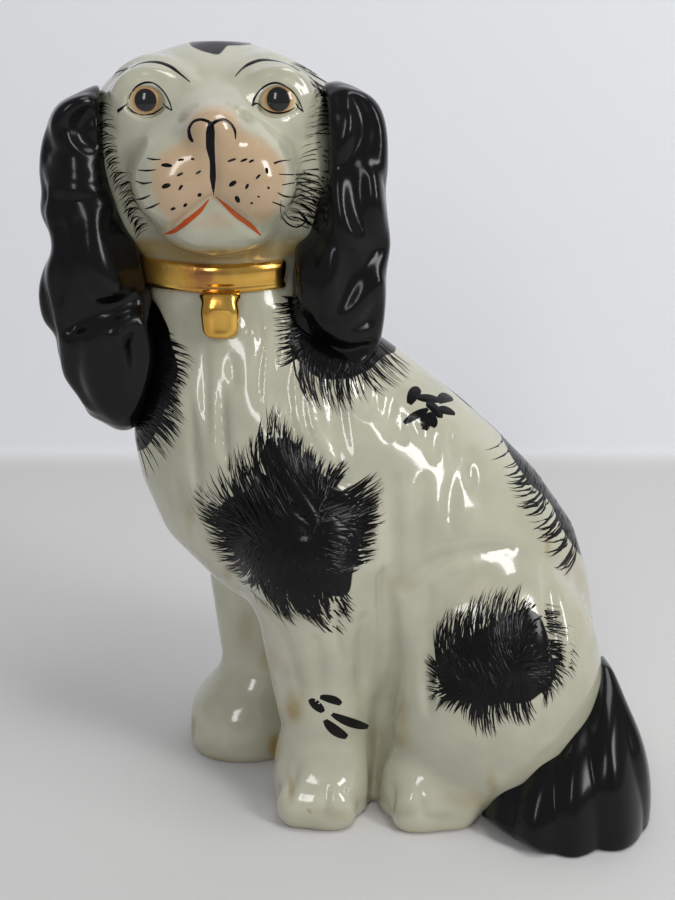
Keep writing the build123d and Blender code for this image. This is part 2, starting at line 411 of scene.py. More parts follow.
    def trim(self, outline: Sequence[Pixel], scale: float, fillet: float) -> None:
        """Cuts away what the photograph's view would show outside an outline.

        Args:
            outline: Corners in pixels.
            scale: Pixels to a millimetre where the clay is.
            fillet: How softly the new edge is rounded.
        """
        places = np.stack(np.meshgrid(self.x.ravel(), self.y.ravel(), self.z.ravel(), indexing="ij"), axis=-1)
        pixels = PHOTO.pixels(places.reshape(-1, 3))
        corner = np.floor(pixels.min(0)) - 1
        size = np.ceil(pixels.max(0) - corner).astype(int) + 3
        chart = np.stack(np.meshgrid(np.arange(size[0]), np.arange(size[1]), indexing="ij"), axis=-1)
        closed = smooth_path(tuple(outline) + (outline[0],))
        gaps = -outline_depth(chart.reshape(-1, 2) + corner, closed[:-1]).reshape(size) / scale
        cell = (pixels - corner).astype(int)
        across, down = (pixels - corner - cell).T
        column, row = cell.T
        first = gaps[column, row] * (1 - across) + gaps[column + 1, row] * across
        last = gaps[column, row + 1] * (1 - across) + gaps[column + 1, row + 1] * across
        outside = first * (1 - down) + last * down
        self.carve(-outside.reshape(self.depth.shape).astype(np.float32), fillet)

    def surface(self) -> tuple[np.ndarray, np.ndarray]:
        """Points in millimetres and four-sided faces of the clay's surface, facing outwards.

        Returns:
            Points and faces.
        """
        grid = openvdb.FloatGrid(EMPTY)
        grid.copyFromArray(self.depth)
        points, _, quads = grid.convertToPolygons(isovalue=0.0, adaptivity=0.0)
        places = self.low + points.astype(np.float64) * self.grain
        quads = quads.astype(np.int64)
        corner = places[quads]
        fan = np.cross(corner[:, 2] - corner[:, 0], corner[:, 3] - corner[:, 1])
        if float((fan * corner.mean(1)).sum()) < 0:
            quads = quads[:, ::-1]
        return places, quads


def ellipse_depth(across: np.ndarray, deep: np.ndarray, half_x: np.ndarray, half_y: np.ndarray) -> np.ndarray:
    """Distances to the outline of a level ellipse, from offsets to its middle.

    Args:
        across: Offsets across the ellipse.
        deep: Offsets from near to far.
        half_x: Half its width.
        half_y: Half its depth.

    Returns:
        Distances, negative inside.
    """
    dx = across / half_x
    dy = deep / half_y
    size = np.sqrt(dx * dx + dy * dy)
    slope = np.sqrt((dx / half_x) ** 2 + (dy / half_y) ** 2)
    return size * (size - 1) / np.maximum(slope, 1e-6)


def soft_min(first: np.ndarray, second: np.ndarray, fillet: float) -> np.ndarray:
    """The smaller of two distances, rounded where they meet.

    Args:
        first: Distances to one form.
        second: Distances to the other.
        fillet: How softly the two are joined.

    Returns:
        The joined distances.
    """
    if fillet <= 0:
        return np.minimum(first, second)
    share = np.clip(0.5 + 0.5 * (second - first) / fillet, 0, 1)
    return second + (first - second) * share - fillet * share * (1 - share)


def smooth_line(at: np.ndarray, levels: np.ndarray, values: np.ndarray, soft: float) -> np.ndarray:
    """Values read between levels, averaged over a short stretch so that no level shows as a kink.

    Args:
        at: Where to read.
        levels: Levels that have a value.
        values: One value to each.
        soft: How far to each side a reading is averaged.

    Returns:
        One reading to each place.
    """
    offsets = np.linspace(-soft, soft, 9)
    weights = np.cos(offsets / soft * math.pi / 2) + 0.05
    readings = [np.interp(at + offset, levels, values) for offset in offsets]
    return np.average(readings, axis=0, weights=weights)


def smooth_path(points: Sequence[Sequence[float]], each: int = 4) -> np.ndarray:
    """A smooth line through the given points, with each stretch divided.

    Args:
        points: Points that the line passes.
        each: Steps between two points.

    Returns:
        Points along the line.
    """
    table = np.array(points, dtype=np.float64)
    held = np.vstack([2 * table[0] - table[1], table, 2 * table[-1] - table[-2]])
    rows = []
    for first, start, end, last in zip(held[:-3], held[1:-2], held[2:-1], held[3:]):
        for share in np.arange(each) / each:
            rows.append(
                start
                + (end - first) * share / 2
                + (2 * first - 5 * start + 4 * end - last) * share**2 / 2
                + (3 * start - first - 3 * end + last) * share**3 / 2
            )
    rows.append(table[-1])
    return np.array(rows)


def smooth_step(value: np.ndarray, low: float, high: float) -> np.ndarray:
    """0 below low, 1 above high, and a soft slope between."""
    share = np.clip((value - low) / (high - low), 0, 1)
    return share * share * (3 - 2 * share)


def outline_depth(places: np.ndarray, outline: Sequence[Pixel]) -> np.ndarray:
    """How far inside a closed outline each place lies, negative outside.

    Args:
        places: Places in pixels.
        outline: Corners of the outline.

    Returns:
        One distance to a place.
    """
    corners = np.array(outline, dtype=np.float64)
    ends = np.roll(corners, -1, axis=0)
    inside = np.zeros(len(places), dtype=bool)
    gap = np.full(len(places), 1e9)
    for start, end in zip(corners, ends):
        run = end - start
        away = places - start
        share = np.clip(away @ run / (run @ run), 0, 1)
        gap = np.minimum(gap, np.linalg.norm(away - share[:, None] * run, axis=1))
        crosses = (start[1] > places[:, 1]) != (end[1] > places[:, 1])
        with np.errstate(divide="ignore", invalid="ignore"):
            edge = start[0] + (places[:, 1] - start[1]) * run[0] / run[1]
        inside ^= crosses & (places[:, 0] < edge)
    return np.where(inside, gap, -gap)


def new_object(name: str, data: bpy.types.ID) -> bpy.types.Object:
    """An object in the scene that holds the given data.

    Args:
        name: Its name.
        data: The mesh, lamp or camera that it holds.

    Returns:
        The object.
    """
    made = bpy.data.objects.new(name, data)
    bpy.context.collection.objects.link(made)
    return made


class Skin:
    """A finished surface: its points, faces and painted values."""

    def __init__(self, name: str, points: np.ndarray, quads: np.ndarray) -> None:
        """Holds a surface in millimetres.

        Args:
            name: Its name.
            points: Places in millimetres.
            quads: Four points to a face.
        """
        self.name = name
        self.points = points
        self.quads = quads
        self.values: dict[str, np.ndarray] = {}
        corner = points[quads]
        fan = np.cross(corner[:, 2] - corner[:, 0], corner[:, 3] - corner[:, 1])
        normals = np.zeros_like(points)
        for column in range(4):
            for axis in range(3):
                normals[:, axis] += np.bincount(quads[:, column], fan[:, axis], len(points))
        self.normals = normals / np.maximum(np.linalg.norm(normals, axis=1, keepdims=True), 1e-9)

    def spread(self, values: np.ndarray, rounds: int) -> np.ndarray:
        """Values averaged with their neighbours along the edges.

        Args:
            values: One value to a point.
            rounds: How often it is repeated.

        Returns:
            The averaged values.
        """
        ends = np.concatenate([self.quads, np.roll(self.quads, -1, axis=1)])
        starts = np.concatenate([np.roll(self.quads, -1, axis=1), self.quads])
        ends, starts = ends.ravel(), starts.ravel()
        count = np.bincount(ends, minlength=len(self.points))
        for _ in range(rounds):
            values = np.bincount(ends, values[starts], len(self.points)) / np.maximum(count, 1)
        return values

    def hollowness(self, rounds: int = 3) -> np.ndarray:
        """How hollow the surface is at each point, in millimetres, positive in creases.

        Args:
            rounds: How often it is repeated.

        Returns:
            One value to a point.
        """
        blurred = np.stack([self.spread(self.points[:, axis], 6) for axis in range(3)], axis=1)
        lift = ((blurred - self.points) * self.normals).sum(1)
        return self.spread(lift, rounds)

    def build(self) -> bpy.types.Object:
        """Makes the Blender object, with each painted value as a point attribute.

        Returns:
            What was made.
        """
        mesh = bpy.data.meshes.new(self.name)
        mesh.vertices.add(len(self.points))
        mesh.vertices.foreach_set("co", (self.points * MM).astype(np.float32).ravel())
        mesh.loops.add(4 * len(self.quads))
        mesh.loops.foreach_set("vertex_index", self.quads.astype(np.int32).ravel())
        mesh.polygons.add(len(self.quads))
        mesh.polygons.foreach_set("loop_start", np.arange(0, 4 * len(self.quads), 4, dtype=np.int32))
        mesh.polygons.foreach_set("use_smooth", np.ones(len(self.quads), dtype=bool))
        mesh.update(calc_edges=True)
        mesh.validate()
        for name, values in self.values.items():
            layer = mesh.attributes.new(name, "FLOAT", "POINT")
            layer.data.foreach_set("value", values.astype(np.float32))
        return new_object(self.name, mesh)


class Nodes:
    """Builds a node tree a node at a time."""

    def __init__(self, tree: bpy.types.NodeTree) -> None:
        """Starts in the given tree."""
        self.tree = tree
        self.column = 0

    def add(self, kind: str, settings: Optional[dict] = None, **inputs: object) -> bpy.types.Node:
        """Adds a node.

        Args:
            kind: The node's type.
            settings: Properties of the node itself.
            inputs: Values or linked outputs by input name, with _ for a space.

        Returns:
            The new node.
        """
        node = self.tree.nodes.new(kind)
        self.column += 1
        node.location = (180 * (self.column % 12), -220 * (self.column // 12))
        for name, value in (settings or {}).items():
            setattr(node, name, value)
        for name, value in inputs.items():
            self.feed(node, name.replace("_", " "), value)
        return node

    def feed(self, node: bpy.types.Node, name: str, value: object) -> None:
        """Links an output to an input, or sets the input's value.

        Args:
            node: The node.
            name: The input's name, or i and its number.
            value: A number, colour or linked output.
        """
        socket = node.inputs[int(name[1:])] if name[0] == "i" and name[1:].isdigit() else node.inputs[name]
        if isinstance(value, bpy.types.NodeSocket):
            self.tree.links.new(value, socket)
        else:
            socket.default_value = value

    def math(self, operation: str, *values: object) -> bpy.types.NodeSocket:
        """One arithmetic step.

        Args:
            operation: What the node does.
            values: Numbers or linked outputs.

        Returns:
            The result's output.
        """
        node = self.add("ShaderNodeMath", {"operation": operation})
        for index, value in enumerate(values):
            self.feed(node, f"i{index}", value)
        return node.outputs[0]

    def vector(self, operation: str, *values: object) -> bpy.types.NodeSocket:
        """One vector step.

        Args:
            operation: What the node does.
            values: Vectors, numbers or linked outputs.

        Returns:
            The result's output.
        """
        node = self.add("ShaderNodeVectorMath", {"operation": operation})
        for index, value in enumerate(values):
            name = "Scale" if operation == "SCALE" and index == 1 else f"i{index}"
            self.feed(node, name, value)
        return node.outputs["Value" if operation in ("DOT_PRODUCT", "LENGTH", "DISTANCE") else "Vector"]

    def ramp(self, value: object, low: float, high: float, first: float = 0.0,
        last: float = 1.0) -> bpy.types.NodeSocket:
        """A value mapped smoothly from one span to another.

        Args:
            value: A number, colour or linked output.
            low: Start of the span read.
            high: End of the span read.
            first: Value at its start.
            last: Value at its end.

        Returns:
            The result's output.
        """
        node = self.add("ShaderNodeMapRange", {"interpolation_type": "SMOOTHSTEP"}, Value=value)
        for name, number in (("From Min", low), ("From Max", high), ("To Min", first), ("To Max", last)):
            node.inputs[name].default_value = number
        return node.outputs[0]

    def mix(self, factor: object, first: object, second: object) -> bpy.types.NodeSocket:
        """Two colours mixed.

        Args:
            factor: Share of the second.
            first: Colour at 0.
            second: Colour at 1.

        Returns:
            The mixed colour's output.
        """
        node = self.add("ShaderNodeMix", {"data_type": "RGBA"})
        self.feed(node, "i0", factor)
        self.feed(node, "i6", first)
        self.feed(node, "i7", second)
        return node.outputs[2]

    def attribute(self, name: str) -> bpy.types.NodeSocket:
        """A painted value of the surface."""
        return self.add("ShaderNodeAttribute", {"attribute_name": name}).outputs["Fac"]

    def noise(self, where: object, scale: float, detail: float = 3.0) -> bpy.types.NodeSocket:
        """Soft random values."""
        return self.add("ShaderNodeTexNoise", None, Vector=where, Scale=scale, Detail=detail).outputs["Fac"]

    def close(self, shader: bpy.types.Node, bump: bpy.types.Node) -> None:
        """Links a shader, roughened by a bump, to the material's output."""
        self.feed(shader, "Normal", bump.outputs[0])
        self.feed(self.add("ShaderNodeOutputMaterial"), "Surface", shader.outputs[0])


def new_material(name: str) -> tuple[bpy.types.Material, Nodes]:
    """An empty material and the builder of its nodes.

    Args:
        name: Its name.

    Returns:
        The material and its builder.
    """
    material = bpy.data.materials.new(name)
    material.use_nodes = True
    material.node_tree.nodes.clear()
    return material, Nodes(material.node_tree)


def rgb(red: float, green: float, blue: float) -> Colour:
    """A colour given as it looks on a screen, from 0 to 255, as linear values.

    Args:
        red: Red level.
        green: Green level.
        blue: Blue level.

    Returns:
        Linear red, green, blue and alpha.
    """
    linear = []
    for level in (red, green, blue):
        share = level / 255
        linear.append(share / 12.92 if share <= 0.04045 else ((share + 0.055) / 1.055) ** 2.4)
    return (*linear, 1.0)


def glaze_skin_group() -> bpy.types.NodeTree:
    """The uneven depth of a hand-dipped glaze, shared by every glazed finish.

    Returns:
        The shader group.
    """
    group = bpy.data.node_groups.new("glaze_skin", "ShaderNodeTree")
    for name, default in (("Mottle Scale", 60.0), ("Ripple Scale", 90.0)):
        socket = group.interface.new_socket(name, in_out="INPUT", socket_type="NodeSocketFloat")
        socket.default_value = default
    for name in ("Mottle", "Ripple", "Pinhole"):
        group.interface.new_socket(name, in_out="OUTPUT", socket_type="NodeSocketFloat")
    nodes = Nodes(group)
    source = nodes.add("NodeGroupInput")
    target = nodes.add("NodeGroupOutput")
    where = nodes.add("ShaderNodeTexCoord").outputs["Object"]
    mottle = nodes.add("ShaderNodeTexNoise", None, Vector=where, Scale=source.outputs[0], Detail=4.0)
    ripple = nodes.add("ShaderNodeTexNoise", None, Vector=where, Scale=source.outputs[1], Detail=1.0)
    cells = nodes.add("ShaderNodeTexVoronoi", None, Vector=where, Scale=330.0)
    speck = nodes.ramp(cells.outputs["Distance"], 0.05, 0.09, 1.0, 0.0)
    rare = nodes.ramp(nodes.noise(where, 130.0, 1.0), 0.62, 0.68)
    nodes.feed(target, "Mottle", mottle.outputs["Fac"])
    nodes.feed(target, "Ripple", ripple.outputs["Fac"])
    nodes.feed(target, "Pinhole", nodes.math("MULTIPLY", speck, rare))
    return group


@dataclass(frozen=True)
class GlazeFinish:
    """Glossy glaze over earthenware, painted where the surface's values say."""

    name: str
    body: Colour
    shade: Colour
    # Stain colour, partly real brown stain and partly painted shade in creases and along the foot
    stain_and_shade: Colour
    roughness: float = 0.16
    coat: float = 0.6
    ripple: float = 0.00012
    painted: bool = True
    specular: float = 0.5
    blush: Colour = rgb(190, 156, 118)
    # Grey painted shade, on the paws' lower edges by the table and on the crown's sides by the ears
    grey_painted_shade: Colour = rgb(140, 139, 128)
    pinhole: Colour = rgb(120, 96, 60)
    enamel: Colour = rgb(5, 5, 6)
    enamel_specular: float = 0.25
    coat_roughness: float = 0.04

    def build(self, group: bpy.types.NodeTree) -> bpy.types.Material:
        """Makes the material.

        Args:
            group: The shared glaze skin.

        Returns:
            What was made.
        """
        material, nodes = new_material(self.name)
        skin = nodes.add("ShaderNodeGroup", {"node_tree": group})
        tone = nodes.ramp(skin.outputs["Mottle"], 0.35, 0.65)
        colour = nodes.mix(tone, self.body, self.shade)
        if self.painted:
            # Stain colour where the surface's values say: real stains, with painted shade in the hollows and
            # along the foot
            pooled_stain_and_shade = nodes.math("MULTIPLY", nodes.attribute("stain_and_crease_shade"),
                nodes.ramp(skin.outputs["Mottle"], 0.3, 0.6, 0.55, 1.0))
            colour = nodes.mix(pooled_stain_and_shade, colour, self.stain_and_shade)
            colour = nodes.mix(nodes.attribute("blush"), colour, self.blush)
            # Grey painted shade where the surface's values say
            colour = nodes.mix(nodes.attribute("grey_painted_shade"), colour, self.grey_painted_shade)
            colour = nodes.mix(nodes.math("MULTIPLY", skin.outputs["Pinhole"], 0.35), colour, self.pinhole)
            edge = nodes.math("ADD", nodes.attribute("black_depth"),
                nodes.ramp(skin.outputs["Ripple"], 0.2, 0.8, -0.25, 0.25))
            black = nodes.ramp(edge, -0.25, 0.25)
            colour = nodes.mix(black, colour, self.enamel)
        bump = nodes.add("ShaderNodeBump", None, Height=skin.outputs["Ripple"], Distance=self.ripple,
            Strength=0.35)
        shader = nodes.add("ShaderNodeBsdfPrincipled", None, Base_Color=colour, Roughness=self.roughness,
            IOR=1.52)
        shader.inputs["Specular IOR Level"].default_value = self.specular
        shader.inputs["Coat Weight"].default_value = self.coat
        shader.inputs["Coat Roughness"].default_value = self.coat_roughness
        if self.painted:
            nodes.feed(shader, "Specular IOR Level",
                nodes.ramp(black, 0.0, 1.0, self.specular, self.enamel_specular))
            nodes.feed(shader, "Coat Weight", nodes.ramp(black, 0.0, 1.0, self.coat, 0.0))
        nodes.close(shader, bump)
        return material


@dataclass(frozen=True)
class GiltFinish:
    """Burnished gold lustre, rubbed where it stands proud."""

    name: str = "gilt_lustre"
    bright: Colour = rgb(240, 196, 100)
    deep: Colour = rgb(212, 160, 76)
    copper: Colour = rgb(172, 116, 74)

    def build(self, group: bpy.types.NodeTree) -> bpy.types.Material:
        """Makes the material.

        Args:
            group: The shared glaze skin.

        Returns:
            What was made.
        """
        material, nodes = new_material(self.name)
        where = nodes.add("ShaderNodeTexCoord").outputs["Object"]
        skin = nodes.add("ShaderNodeGroup", {"node_tree": group})
        tone = nodes.ramp(skin.outputs["Mottle"], 0.35, 0.65)
        colour = nodes.mix(tone, self.bright, self.deep)
        copper = nodes.ramp(nodes.noise(where, 55.0), 0.56, 0.7)
        colour = nodes.mix(copper, colour, self.copper)
        sand = nodes.add("ShaderNodeTexNoise", None, Vector=where, Scale=1400.0, Detail=2.0).outputs["Fac"]
        sanded = nodes.attribute("sanded")
        grain = nodes.math("MULTIPLY", sand, sanded)
        rough = nodes.math("ADD", nodes.math("MULTIPLY", sanded, 0.26),
            nodes.ramp(skin.outputs["Ripple"], 0.3, 0.7, 0.12, 0.22))
        height = nodes.math("ADD", nodes.math("MULTIPLY", grain, 0.9),
            nodes.math("MULTIPLY", skin.outputs["Ripple"], 0.5))
        bump = nodes.add("ShaderNodeBump", None, Height=height, Distance=0.0003, Strength=0.5)
        shader = nodes.add("ShaderNodeBsdfPrincipled", None, Base_Color=colour, Metallic=1.0, Roughness=rough)
        nodes.close(shader, bump)
        return material


@dataclass(frozen=True)
class EyeFinish:
    """Painted eye under glaze: cream, amber ring and black pupil."""

    name: str
    centre: Point
    pupil: float = 3.3
    iris: float = 5.2
    pupil_offset: Pixel = (0.0, 0.6)
    cream: Colour = rgb(222, 216, 190)
    amber: Colour = rgb(194, 146, 80)
    brown: Colour = rgb(160, 104, 44)
    black: Colour = rgb(10, 10, 11)

    def build(self, group: bpy.types.NodeTree) -> bpy.types.Material:
        """Makes the material.

        Args:
            group: The shared glaze skin.

        Returns:
            What was made.
        """
        material, nodes = new_material(self.name)
        where = nodes.add("ShaderNodeTexCoord").outputs["Object"]
        skin = nodes.add("ShaderNodeGroup", {"node_tree": group})
        centre = (
            (self.centre[0] + self.pupil_offset[0]) * MM,
            0.0,
            (self.centre[2] + self.pupil_offset[1]) * MM,
        )
        flat = nodes.vector("MULTIPLY", nodes.vector("SUBTRACT", where, centre), (1.0, 0.0, 1.0))
        reach = nodes.vector("LENGTH", flat)
        wobble = nodes.ramp(skin.outputs["Ripple"], 0.2, 0.8, -0.0002, 0.0002)
        reach = nodes.math("ADD", reach, wobble)
        ring = nodes.ramp(reach, (self.iris - 1.5) * MM, (self.iris + 0.2) * MM, 1.0, 0.0)
        colour = nodes.mix(nodes.math("MULTIPLY", ring, 0.75), self.cream, self.amber)
        deep = nodes.ramp(reach, self.pupil * MM, (self.pupil + 0.9) * MM, 1.0, 0.0)
        colour = nodes.mix(nodes.math("MULTIPLY", deep, 0.5), colour, self.brown)
        black = nodes.ramp(reach, (self.pupil - 0.12) * MM, (self.pupil + 0.12) * MM, 1.0, 0.0)
        colour = nodes.mix(black, colour, self.black)
        bump = nodes.add("ShaderNodeBump", None, Height=skin.outputs["Ripple"], Distance=0.0001, Strength=0.3)
        shader = nodes.add("ShaderNodeBsdfPrincipled", None, Base_Color=colour, Roughness=0.1)
        shader.inputs["Coat Weight"].default_value = 0.3
        shader.inputs["Coat Roughness"].default_value = 0.03
        nodes.close(shader, bump)
        return material


@dataclass(frozen=True)
class EnamelFinish:
    """Brushed enamel strokes of one colour, thinner towards their ends."""

    name: str
    colour: Colour
    thin: Colour

    def build(self, group: bpy.types.NodeTree) -> bpy.types.Material:
        """Makes the material.

        Args:
            group: The shared glaze skin.

        Returns:
            What was made.
        """
        material, nodes = new_material(self.name)
        skin = nodes.add("ShaderNodeGroup", {"node_tree": group})
        tone = nodes.ramp(skin.outputs["Mottle"], 0.45, 0.75, 0.0, 0.6)
        colour = nodes.mix(tone, self.colour, self.thin)
        bump = nodes.add("ShaderNodeBump", None, Height=skin.outputs["Ripple"], Distance=0.0001, Strength=0.3)
        shader = nodes.add("ShaderNodeBsdfPrincipled", None, Base_Color=colour, Roughness=0.2)
        shader.inputs["Specular IOR Level"].default_value = 0.2
        nodes.close(shader, bump)
        return material


@dataclass(frozen=True)
class ClayFinish:
    """Bare fired clay of the underside."""

    name: str = "bare_fired_clay"
    pale: Colour = rgb(206, 190, 162)
    buff: Colour = rgb(178, 150, 112)
    grit: Colour = rgb(140, 112, 80)

    def build(self, group: bpy.types.NodeTree) -> bpy.types.Material:
        """Makes the material.

        Args:
            group: The shared glaze skin.

        Returns:
            What was made.
        """
        material, nodes = new_material(self.name)
        where = nodes.add("ShaderNodeTexCoord").outputs["Object"]
        skin = nodes.add("ShaderNodeGroup", {"node_tree": group})
        grain = nodes.noise(where, 900.0, 4.0)
        colour = nodes.mix(nodes.ramp(skin.outputs["Mottle"], 0.3, 0.7), self.pale, self.buff)
        colour = nodes.mix(nodes.ramp(grain, 0.55, 0.75, 0.0, 0.5), colour, self.grit)
        bump = nodes.add("ShaderNodeBump", None, Height=grain, Distance=0.0003, Strength=0.6)
        shader = nodes.add("ShaderNodeBsdfPrincipled", None, Base_Color=colour, Roughness=0.85)
        nodes.close(shader, bump)
        return material


@dataclass(frozen=True)
class Bulge:
    """A rounded mass of clay."""

    centre: Point
    radii: Point
    fillet: float = 4.0
    power: float = 2.0


@dataclass
class Body:
    """Hollow seated body with its legs, haunches and paws, pressed in one mould."""

    grain: float = 1.04
    low: Point = (-108.0, -52.0, -3.5)
    high: Point = (66.0, 54.0, 180.0)
    # Height, left, right, near and far of each ellipse
    torso: tuple = (
        (-6, -34, 54, -24, 34), (20, -36.4, 54, -27, 36), (40, -42, 52.5, -29, 38), (58, -56, 50.5, -31, 39),
        (72, -76.4, 48, -33, 40), (90, -93, 42.0, -34, 41), (108, -100, 29.2, -33, 41),
        (122, -102, 15.6, -30, 38), (137, -100, -2, -25, 34), (150, -98, -18.8, -18, 31),
        (165, -97, -43.8, -12, 30), (178, -96, -47, -10, 31),
    )
    near_leg: tuple = (
        (-4, -53.5, -27, -29, -4), (26, -54.5, -26, -31.5, -3), (48, -58.5, -24.6, -36, 0),
        (70, -62, -22, -40.5, 3), (92, -64, -21, -42, 3), (100, -62, -24, -40, 3),
    )
    far_leg: tuple = (
        (-4, -76, -47, 11, 33), (32, -77.5, -46, 11, 33.2), (64, -81, -45, 8, 36), (84, -82, -43, 6, 39),
    )
    bulges: tuple = (
        Bulge((-43.5, -18.5, 92), (22, 24, 28), 7.0),
        Bulge((-59.5, 22, 84), (15, 17, 22), 6.0),
        Bulge((14.5, -17, 41), (36, 27.5, 48), 4.5),
        Bulge((16, 21.5, 41), (38.5, 27, 48), 4.5),
        Bulge((-40.5, -17, 8), (16.6, 19.5, 18.6), 6.0, 2.4),
        Bulge((-69.5, 20, 6), (20.0, 20, 20), 9.0, 2.3),
        Bulge((-6, -18, 8), (17.5, 20.6, 18.6), 3.5, 2.5),
        Bulge((-6, 24, 8), (17.5, 20.6, 18.6), 3.5, 2.5),
        Bulge((-49, -35, 6.5), (6.5, 5, 7.5), 5.5),
        Bulge((-38, -37, 6.0), (7.5, 4, 7.5), 5.5),
        Bulge((-10, -38, 6.0), (8.0, 4, 8.0), 5.5),
        Bulge((2, -36, 6.0), (6.5, 4, 7.5), 5.5),
    )
    vent: Point = (26.0, 0.0, 4.5)
    rim: float = 4.0
    recess: float = 1.2
    # Lines in the photograph's pixels
    folds: tuple = (
        Ridge(((296, 766), (291, 780), (288, 798)), 1.7, False),
        Ridge(((327, 785), (325, 800), (324, 815)), 1.3, False, 0.6),
        Ridge(((197, 716), (192, 728), (193, 742)), 1.4, False, 0.6),
        Ridge(((222, 728), (220, 742), (221, 752)), 1.2, False, 0.7),
        Ridge(((393, 785), (390, 800), (392, 815)), 1.3, False, 0.6),
        Ridge(((420, 790), (421, 806), (424, 818)), 1.2, False, 0.7),
        Ridge(((386, 575), (391, 620), (389, 670), (384, 715), (377, 760), (371, 800)), 3.0, False, 0.45, 0.3,
            3.0),
        Ridge(((405, 590), (424, 570), (462, 556), (510, 548)), 2.2, False, 0.8, 0.3, 3.0),
        Ridge(((233, 583), (262, 602), (284, 630), (294, 665), (300, 700)), 1.6, False, 0.4),
    )
    flutes: tuple = (
        ((268, 312), (260, 356), (256, 383), (261, 409)),
        ((277, 319), (273.5, 367), (272, 409), (273.5, 429)), ((290, 356), (279, 390), (277, 409)),
        ((291, 358), (288, 395), (291, 427), (304.5, 454.5), (337, 480)),
        ((301, 370), (302, 409), (304.5, 429), (323, 461), (346, 482)),
        ((314, 379), (318, 409), (327.5, 441), (341, 461)),
        ((327.5, 379), (332, 418), (337, 445), (341, 464)), ((339, 379), (340, 422), (350.5, 459)),
        ((353, 379), (360, 413)), ((364, 379), (369, 418)), ((378, 388), (381.5, 427)),
        ((393, 397), (388, 438)), ((403, 409), (402, 441)), ((412.5, 418), (423, 441)),
        ((435.5, 429), (435.5, 461)), ((451.5, 427), (456, 468)), ((472, 464), (472, 486)),
        ((247, 312), (248, 332)), ((258, 310), (259, 335)), ((231, 358), (233, 388)),
        ((148, 298), (160, 324)), ((277, 413), (291, 450), (304.5, 475), (337, 507), (352, 521)),
        ((265.5, 480), (291, 503), (314, 523)), ((288.5, 418), (304.5, 459), (327.5, 480), (348, 487)),
        ((222, 380), (220, 430), (228, 470)), ((205, 345), (203, 400), (207, 440)),
        ((190, 400), (192, 450), (200, 500)),
    )
    soft_flutes: tuple = (
        ((370, 500), (372, 560)), ((395, 480), (392, 540), (397, 585)), ((425, 480), (420, 545)),
        ((455, 478), (452, 530)), ((175, 480), (190, 540)), ((430, 590), (422, 650), (428, 710)),
        ((545, 560), (560, 620), (562, 680)), ((345, 600), (350, 660)), ((315, 640), (322, 700)),
        ((365, 620), (364, 700)),
    )
    hidden_flutes: int = 26
    hidden_seed: int = 11
    # Where they start and end across, how high they start and how long they are
    hidden_spans: tuple = ((-45.0, 88.0), (-38.0, 84.0))
    hidden_tops: Pixel = (60.0, 150.0)
    hidden_drops: Pixel = (20.0, 42.0)
    # Radius, raised, sink, tip and fillet
    flute_cut: tuple = (1.8, False, 0.58, 0.25, 1.6)
    soft_cut: tuple = (3.0, False, 0.97, 0.25, 2.2)
    hidden_cut: tuple = (2.6, False, 0.9, 0.25, 2.2)
    leg_fillets: Pixel = (8.0, 7.0)
    edge_fillets: Point = (1.6, 0.8, 0.6)
    neck_level: float = 174.0
    shaft_height: float = 16.0
    joint: float = 0.2
    slab_low: float = 0.45
    slab_high: float = 2.6
    slab_box: tuple = ((-40, -34, -1), (64, 42, 5))
    slab_grain: float = 0.8

    def sculpt(self) -> "Skin":
        """Shapes the clay and paints its values.

        Returns:
            The finished surface.
        """
        clay = Clay(self.low, self.high, self.grain)
        clay.join(clay.stack(self.torso), 0)
        for leg, fillet in zip((self.near_leg, self.far_leg), self.leg_fillets):
            clay.join(clay.stack(leg), fillet)
        for bulge in self.bulges:
            clay.add(bulge)
        for fold in self.folds:
            clay.lay(fold)
        for line in self.flutes:
            clay.lay(Ridge(line, *self.flute_cut))
        for line in self.soft_flutes:
            clay.lay(Ridge(line, *self.soft_cut))
        self.score_hidden_sides(clay)
        clay.soften(1)
        base, rim, vent = self.edge_fillets
        clay.carve(clay.z + 0 * clay.x + 0 * clay.y, base)
        clay.carve(np.maximum(self.foot(clay, self.rim), clay.z - self.recess), rim)
        clay.carve(np.maximum(self.shaft(clay), clay.z - self.shaft_height), vent)
        clay.depth[...] = np.maximum(clay.depth, clay.z - self.neck_level)
        skin = Skin("figure_body", *clay.surface())
        Paintwork().mark_body(skin)
        return skin

    def foot(self, clay: Clay, inset: float) -> np.ndarray:
        """Distances to the lowest part of the torso, moved in from its outline.

        Args:
            clay: The clay to work.
            inset: How far in.

        Returns:
            Distances, negative inside.
        """
        lowest = self.torso[:2]
        return clay.stack([(z, left + inset, right - inset, near + inset, far - inset)
                           for z, left, right, near, far in lowest])

    def shaft(self, clay: Clay) -> np.ndarray:
        """Distances to the upright shaft of the vent."""
        return np.hypot(clay.x - self.vent[0], clay.y - self.vent[1]) - self.vent[2]

    def score_hidden_sides(self, clay: Clay) -> None:
        """Combs faint hair flutes down the sides that the photograph doesn't show.

        Args:
            clay: The clay to work.
        """
        spread = np.random.default_rng(self.hidden_seed)
        for low, high in self.hidden_spans:
            for share in np.linspace(0, 1, self.hidden_flutes // 2):
                across = low + (high - low) * share + spread.uniform(-2, 2)
                top = -spread.uniform(*self.hidden_tops)
                drop = spread.uniform(*self.hidden_drops)
                line = ((across, top), (across + spread.uniform(-3, 3), top + drop / 2), (across, top + drop))
                clay.lay(Ridge(line, *self.hidden_cut, BACK))

    def build(self) -> tuple[bpy.types.Object, "Skin"]:
        """Makes the body."""
        skin = self.sculpt()
        return skin.build(), skin

    def build_slab(self) -> bpy.types.Object:
        """Makes the bare clay of the underside, let into the glazed rim, with its vent.

        Returns:
            The piece.
        """
        clay = Clay(*self.slab_box, self.slab_grain)
        layer = np.maximum(self.slab_low - clay.z, clay.z - self.slab_high)
        clay.join(np.maximum(self.foot(clay, self.rim + self.joint), layer), 0)
        clay.carve(self.shaft(clay) + 0 * clay.z, 0.5)
        return Skin("underside", *clay.surface()).build()


